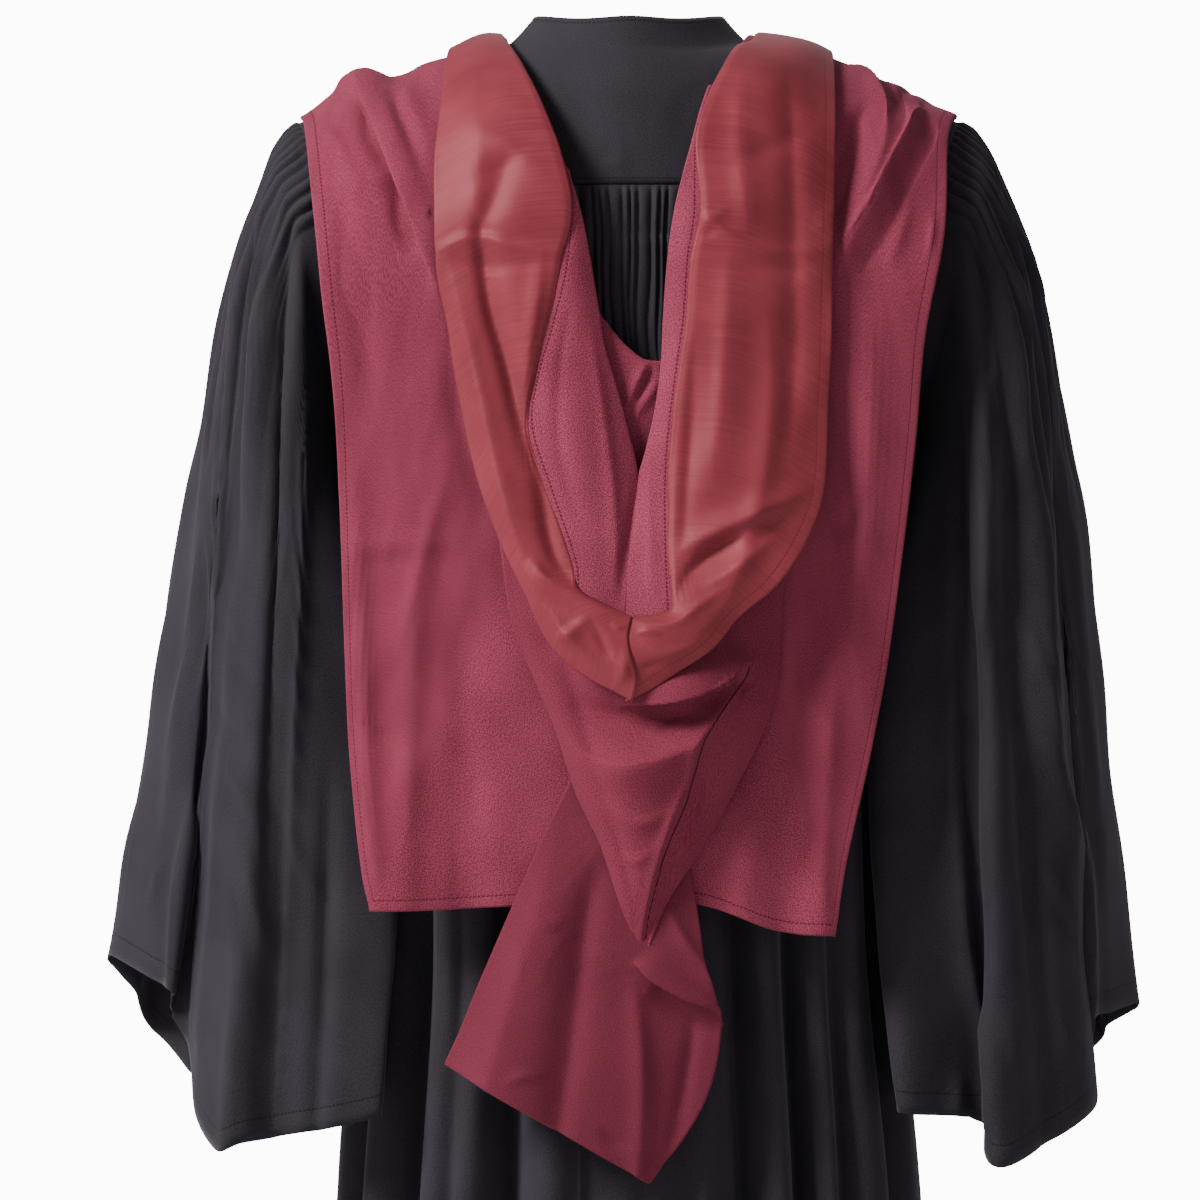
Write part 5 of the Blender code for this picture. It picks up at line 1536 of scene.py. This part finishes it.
TAIL = (
    # x, z, lift of the left edge, x, z, lift of the right edge, belly between them (mm)
    (-32, -508, 2.2, 30, -547, 2.2, 0),
    (-43, -535, 2.2, 42, -596, 2.2, 1),
    (-63, -576, 2.2, 48, -630, 2.2, 2),
    (-82, -618, 2.2, 53, -662, 2.2, 2),
    (-108, -678, 2.2, 64, -706, 2.2, 3),
    (-122, -713, 2.2, 52, -762, 2.2, 4),
    (-132, -735, 2.2, 14, -819, 2.2, 4),
)
TAIL_FOLDS = (
    # x, z, half width on the left or below, half width on the right or above, height (mm)
    ((-46, -547, 14, 40, 0), (-59, -605, 18, 60, 8), (-79, -670, 18, 84, 18), (-98, -734, 18, 90, 22), (-107, -763, 18, 90, 22)),
    ((-17, -583, 8, 8, 0), (-29, -619, 12, 10, -5), (-36, -662, 14, 10, -6.5), (-43, -720, 14, 10, -6), (-53, -785, 11, 9, -4)),
    ((1, -670, 5, 6, 0), (7, -713, 8, 6, 4), (9, -763, 9, 6, 5), (6, -817, 8, 6, 4)),
    ((46, -698, 5, 5, 0), (43, -727, 6, 5, -3), (33, -778, 6, 5, -3.4), (24, -806, 5, 5, -2)),
    (
        (3, -660, 3, 8, 0),
        (9, -666, 2.5, 10, 6),
        (20, -673, 2.5, 12, 9),
        (40, -684, 2.5, 12, 10),
        (55, -691, 2.5, 10, 8),
        (66, -696, 3, 8, 3),
    ),
    ((13, -680, 6, 3, 0), (24, -687, 9, 3, -4), (43, -699, 10, 3, -5), (60, -706, 7, 3, -3)),
    ((22, -612, 5, 5, 0), (36, -641, 7, 5, 4), (55, -668, 6, 5, 3), (62, -684, 4, 4, 0)),
    ((-94, -749, 3, 3, 0), (-76, -742, 4, 4, 2), (-60, -744, 3, 3, 0)),
    ((-22, -778, 3, 3, 0), (-13, -789, 4, 4, -2), (1, -793, 3, 3, 0)),
    ((-79, -619, 4, 4, 0), (-62, -634, 5, 5, 2), (-46, -632, 4, 4, 0)),
)


TAIL_LAPS = (
    # x, z, width, width, lap (mm)
    ((1, -661, 3, 3, 0), (10, -669, 3, 3, 4), (20, -676, 3, 3, 5.5), (40, -687, 3, 3, 6), (53, -693, 3, 3, 4), (62, -697, 3, 3, 0)),
)


def tail_swell(x, way, z, across):
    """Placed folds, the fold of the turn among them, over a faint rumple; nothing sinks into the cape beneath."""
    placed = folds(x, z, TAIL_FOLDS) + rumple(x, z, 91, 0.0011)
    on_cape = ease(-0.690, -0.650, z)
    return placed * (1 - on_cape) + np.clip(placed + 0.0012, 0.0006, None) * on_cape


# The tail's wool is the cape's maroon painted darker: painted shade for the tail hanging in shadow below the bag.
tail_shaded_wool = hood_wool("tail_shaded_wool", None, (0.160, 0.027, 0.046))
tail = hood_piece("tail", laid(TAIL), 118, 84, tail_swell, tail_shaded_wool, bag_rolls, (), TAIL_LAPS)
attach(tail, "root")
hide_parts("hood_tail")


# The band joins the hood's two ends across the chest: a narrow folded strip of the maroon wool that hangs in a curve
# from one shoulder to the other.

BAND_REACH = 0.175
BAND_WIDTH = 0.030

across = np.linspace(-1, 1, 161)[None, :]
width = np.linspace(0, 1, 16)[:, None]
x = 0.106 * across * (1 + 0.16 * width)
way = -(BAND_REACH - (BAND_REACH - 0.0555) * np.abs(across) ** 1.8) - BAND_WIDTH * width * (1 - 0.97 * across**4)
lift = 0.0022 * across**6 + 0.0018 + 0.0009 * np.sin(np.pi * width) * (1 - across**8)
band_points = figure(x, way, HOOD_SKIN, lift + rumple(x, way, 95, 0.0004) * (1 - across**8))[:, ::-1]
band_down = lengths(band_points, 0)
band = cloth_piece(
    "neckband",
    band_points,
    hood_wool("neckband_wool", 0.004),
    HOOD_CLOTH,
    hem=np.minimum(band_down, band_down[-1:] - band_down),
    run=lengths(band_points, 1),
)
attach(band, "root")
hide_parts("hood_neckband")


# The studio: a plain pale floor under the hem, even white surroundings, a large soft key from the upper left and a
# weaker fill from the right. The camera stands behind the gown, level with the middle of the hood.

floor_mesh = bpy.data.meshes.new("floor")
around = np.linspace(0, 2 * np.pi, 65)[:-1]
rim = np.stack([np.cos(around) * 2.8, np.sin(around) * 2.8, np.full(64, HEM_Z - 0.012)], axis=-1)
floor_mesh.from_pydata(rim.tolist(), [], [list(range(64))])
floor = bpy.data.objects.new("floor", floor_mesh)
bpy.context.scene.collection.objects.link(floor)
floor_paint = bpy.data.materials.new("floor_paint")
floor_paint.use_nodes = True
floor_paint.node_tree.nodes["Principled BSDF"].inputs["Base Color"].default_value = (0.80, 0.80, 0.80, 1.0)
floor_paint.node_tree.nodes["Principled BSDF"].inputs["Roughness"].default_value = 0.9
floor_mesh.materials.append(floor_paint)

world = bpy.data.worlds.new("studio")
world.use_nodes = True
bpy.context.scene.world = world
nodes, link = world.node_tree.nodes, world.node_tree.links.new
seen, lit = nodes["Background"], nodes.new("ShaderNodeBackground")
seen.inputs["Color"].default_value = (1.0, 1.0, 1.0, 1.0)
seen.inputs["Strength"].default_value = 12.0
lit.inputs["Color"].default_value = (0.97, 0.98, 1.0, 1.0)
lit.inputs["Strength"].default_value = 0.25
path, mix = nodes.new("ShaderNodeLightPath"), nodes.new("ShaderNodeMixShader")
link(path.outputs["Is Camera Ray"], mix.inputs[0])
link(lit.outputs[0], mix.inputs[1])
link(seen.outputs[0], mix.inputs[2])
link(mix.outputs[0], nodes["World Output"].inputs["Surface"])

for name, place, size, power in (
    ("key", (-3.4, -2.05, 2.3), 1.5, 450.0),
    ("fill", (2.6, -3.0, 0.2), 2.4, 20.0),
    ("front", (0.6, 3.2, 1.6), 2.4, 12.0),
):
    lamp = bpy.data.lights.new(name, "AREA")
    lamp.shape = "SQUARE"
    lamp.size = size
    lamp.energy = power
    light = bpy.data.objects.new(name, lamp)
    light.location = place
    aim = np.array([0.0, 0.0, -0.45]) - np.array(place)
    light.rotation_euler = (float(np.arctan2(np.hypot(aim[0], aim[1]), -aim[2])), 0.0, float(np.arctan2(-aim[0], aim[1])))
    bpy.context.scene.collection.objects.link(light)

view = bpy.data.cameras.new("camera")
view.lens = 166.67
view.sensor_width = 36.0
view.clip_end = 60.0
camera = bpy.data.objects.new("camera", view)
camera.location = (-0.0216, -4.13, -0.403)
camera.rotation_euler = (np.pi / 2, 0.0, 0.0)
bpy.context.scene.collection.objects.link(camera)
bpy.context.scene.camera = camera

bpy.context.view_layer.update()
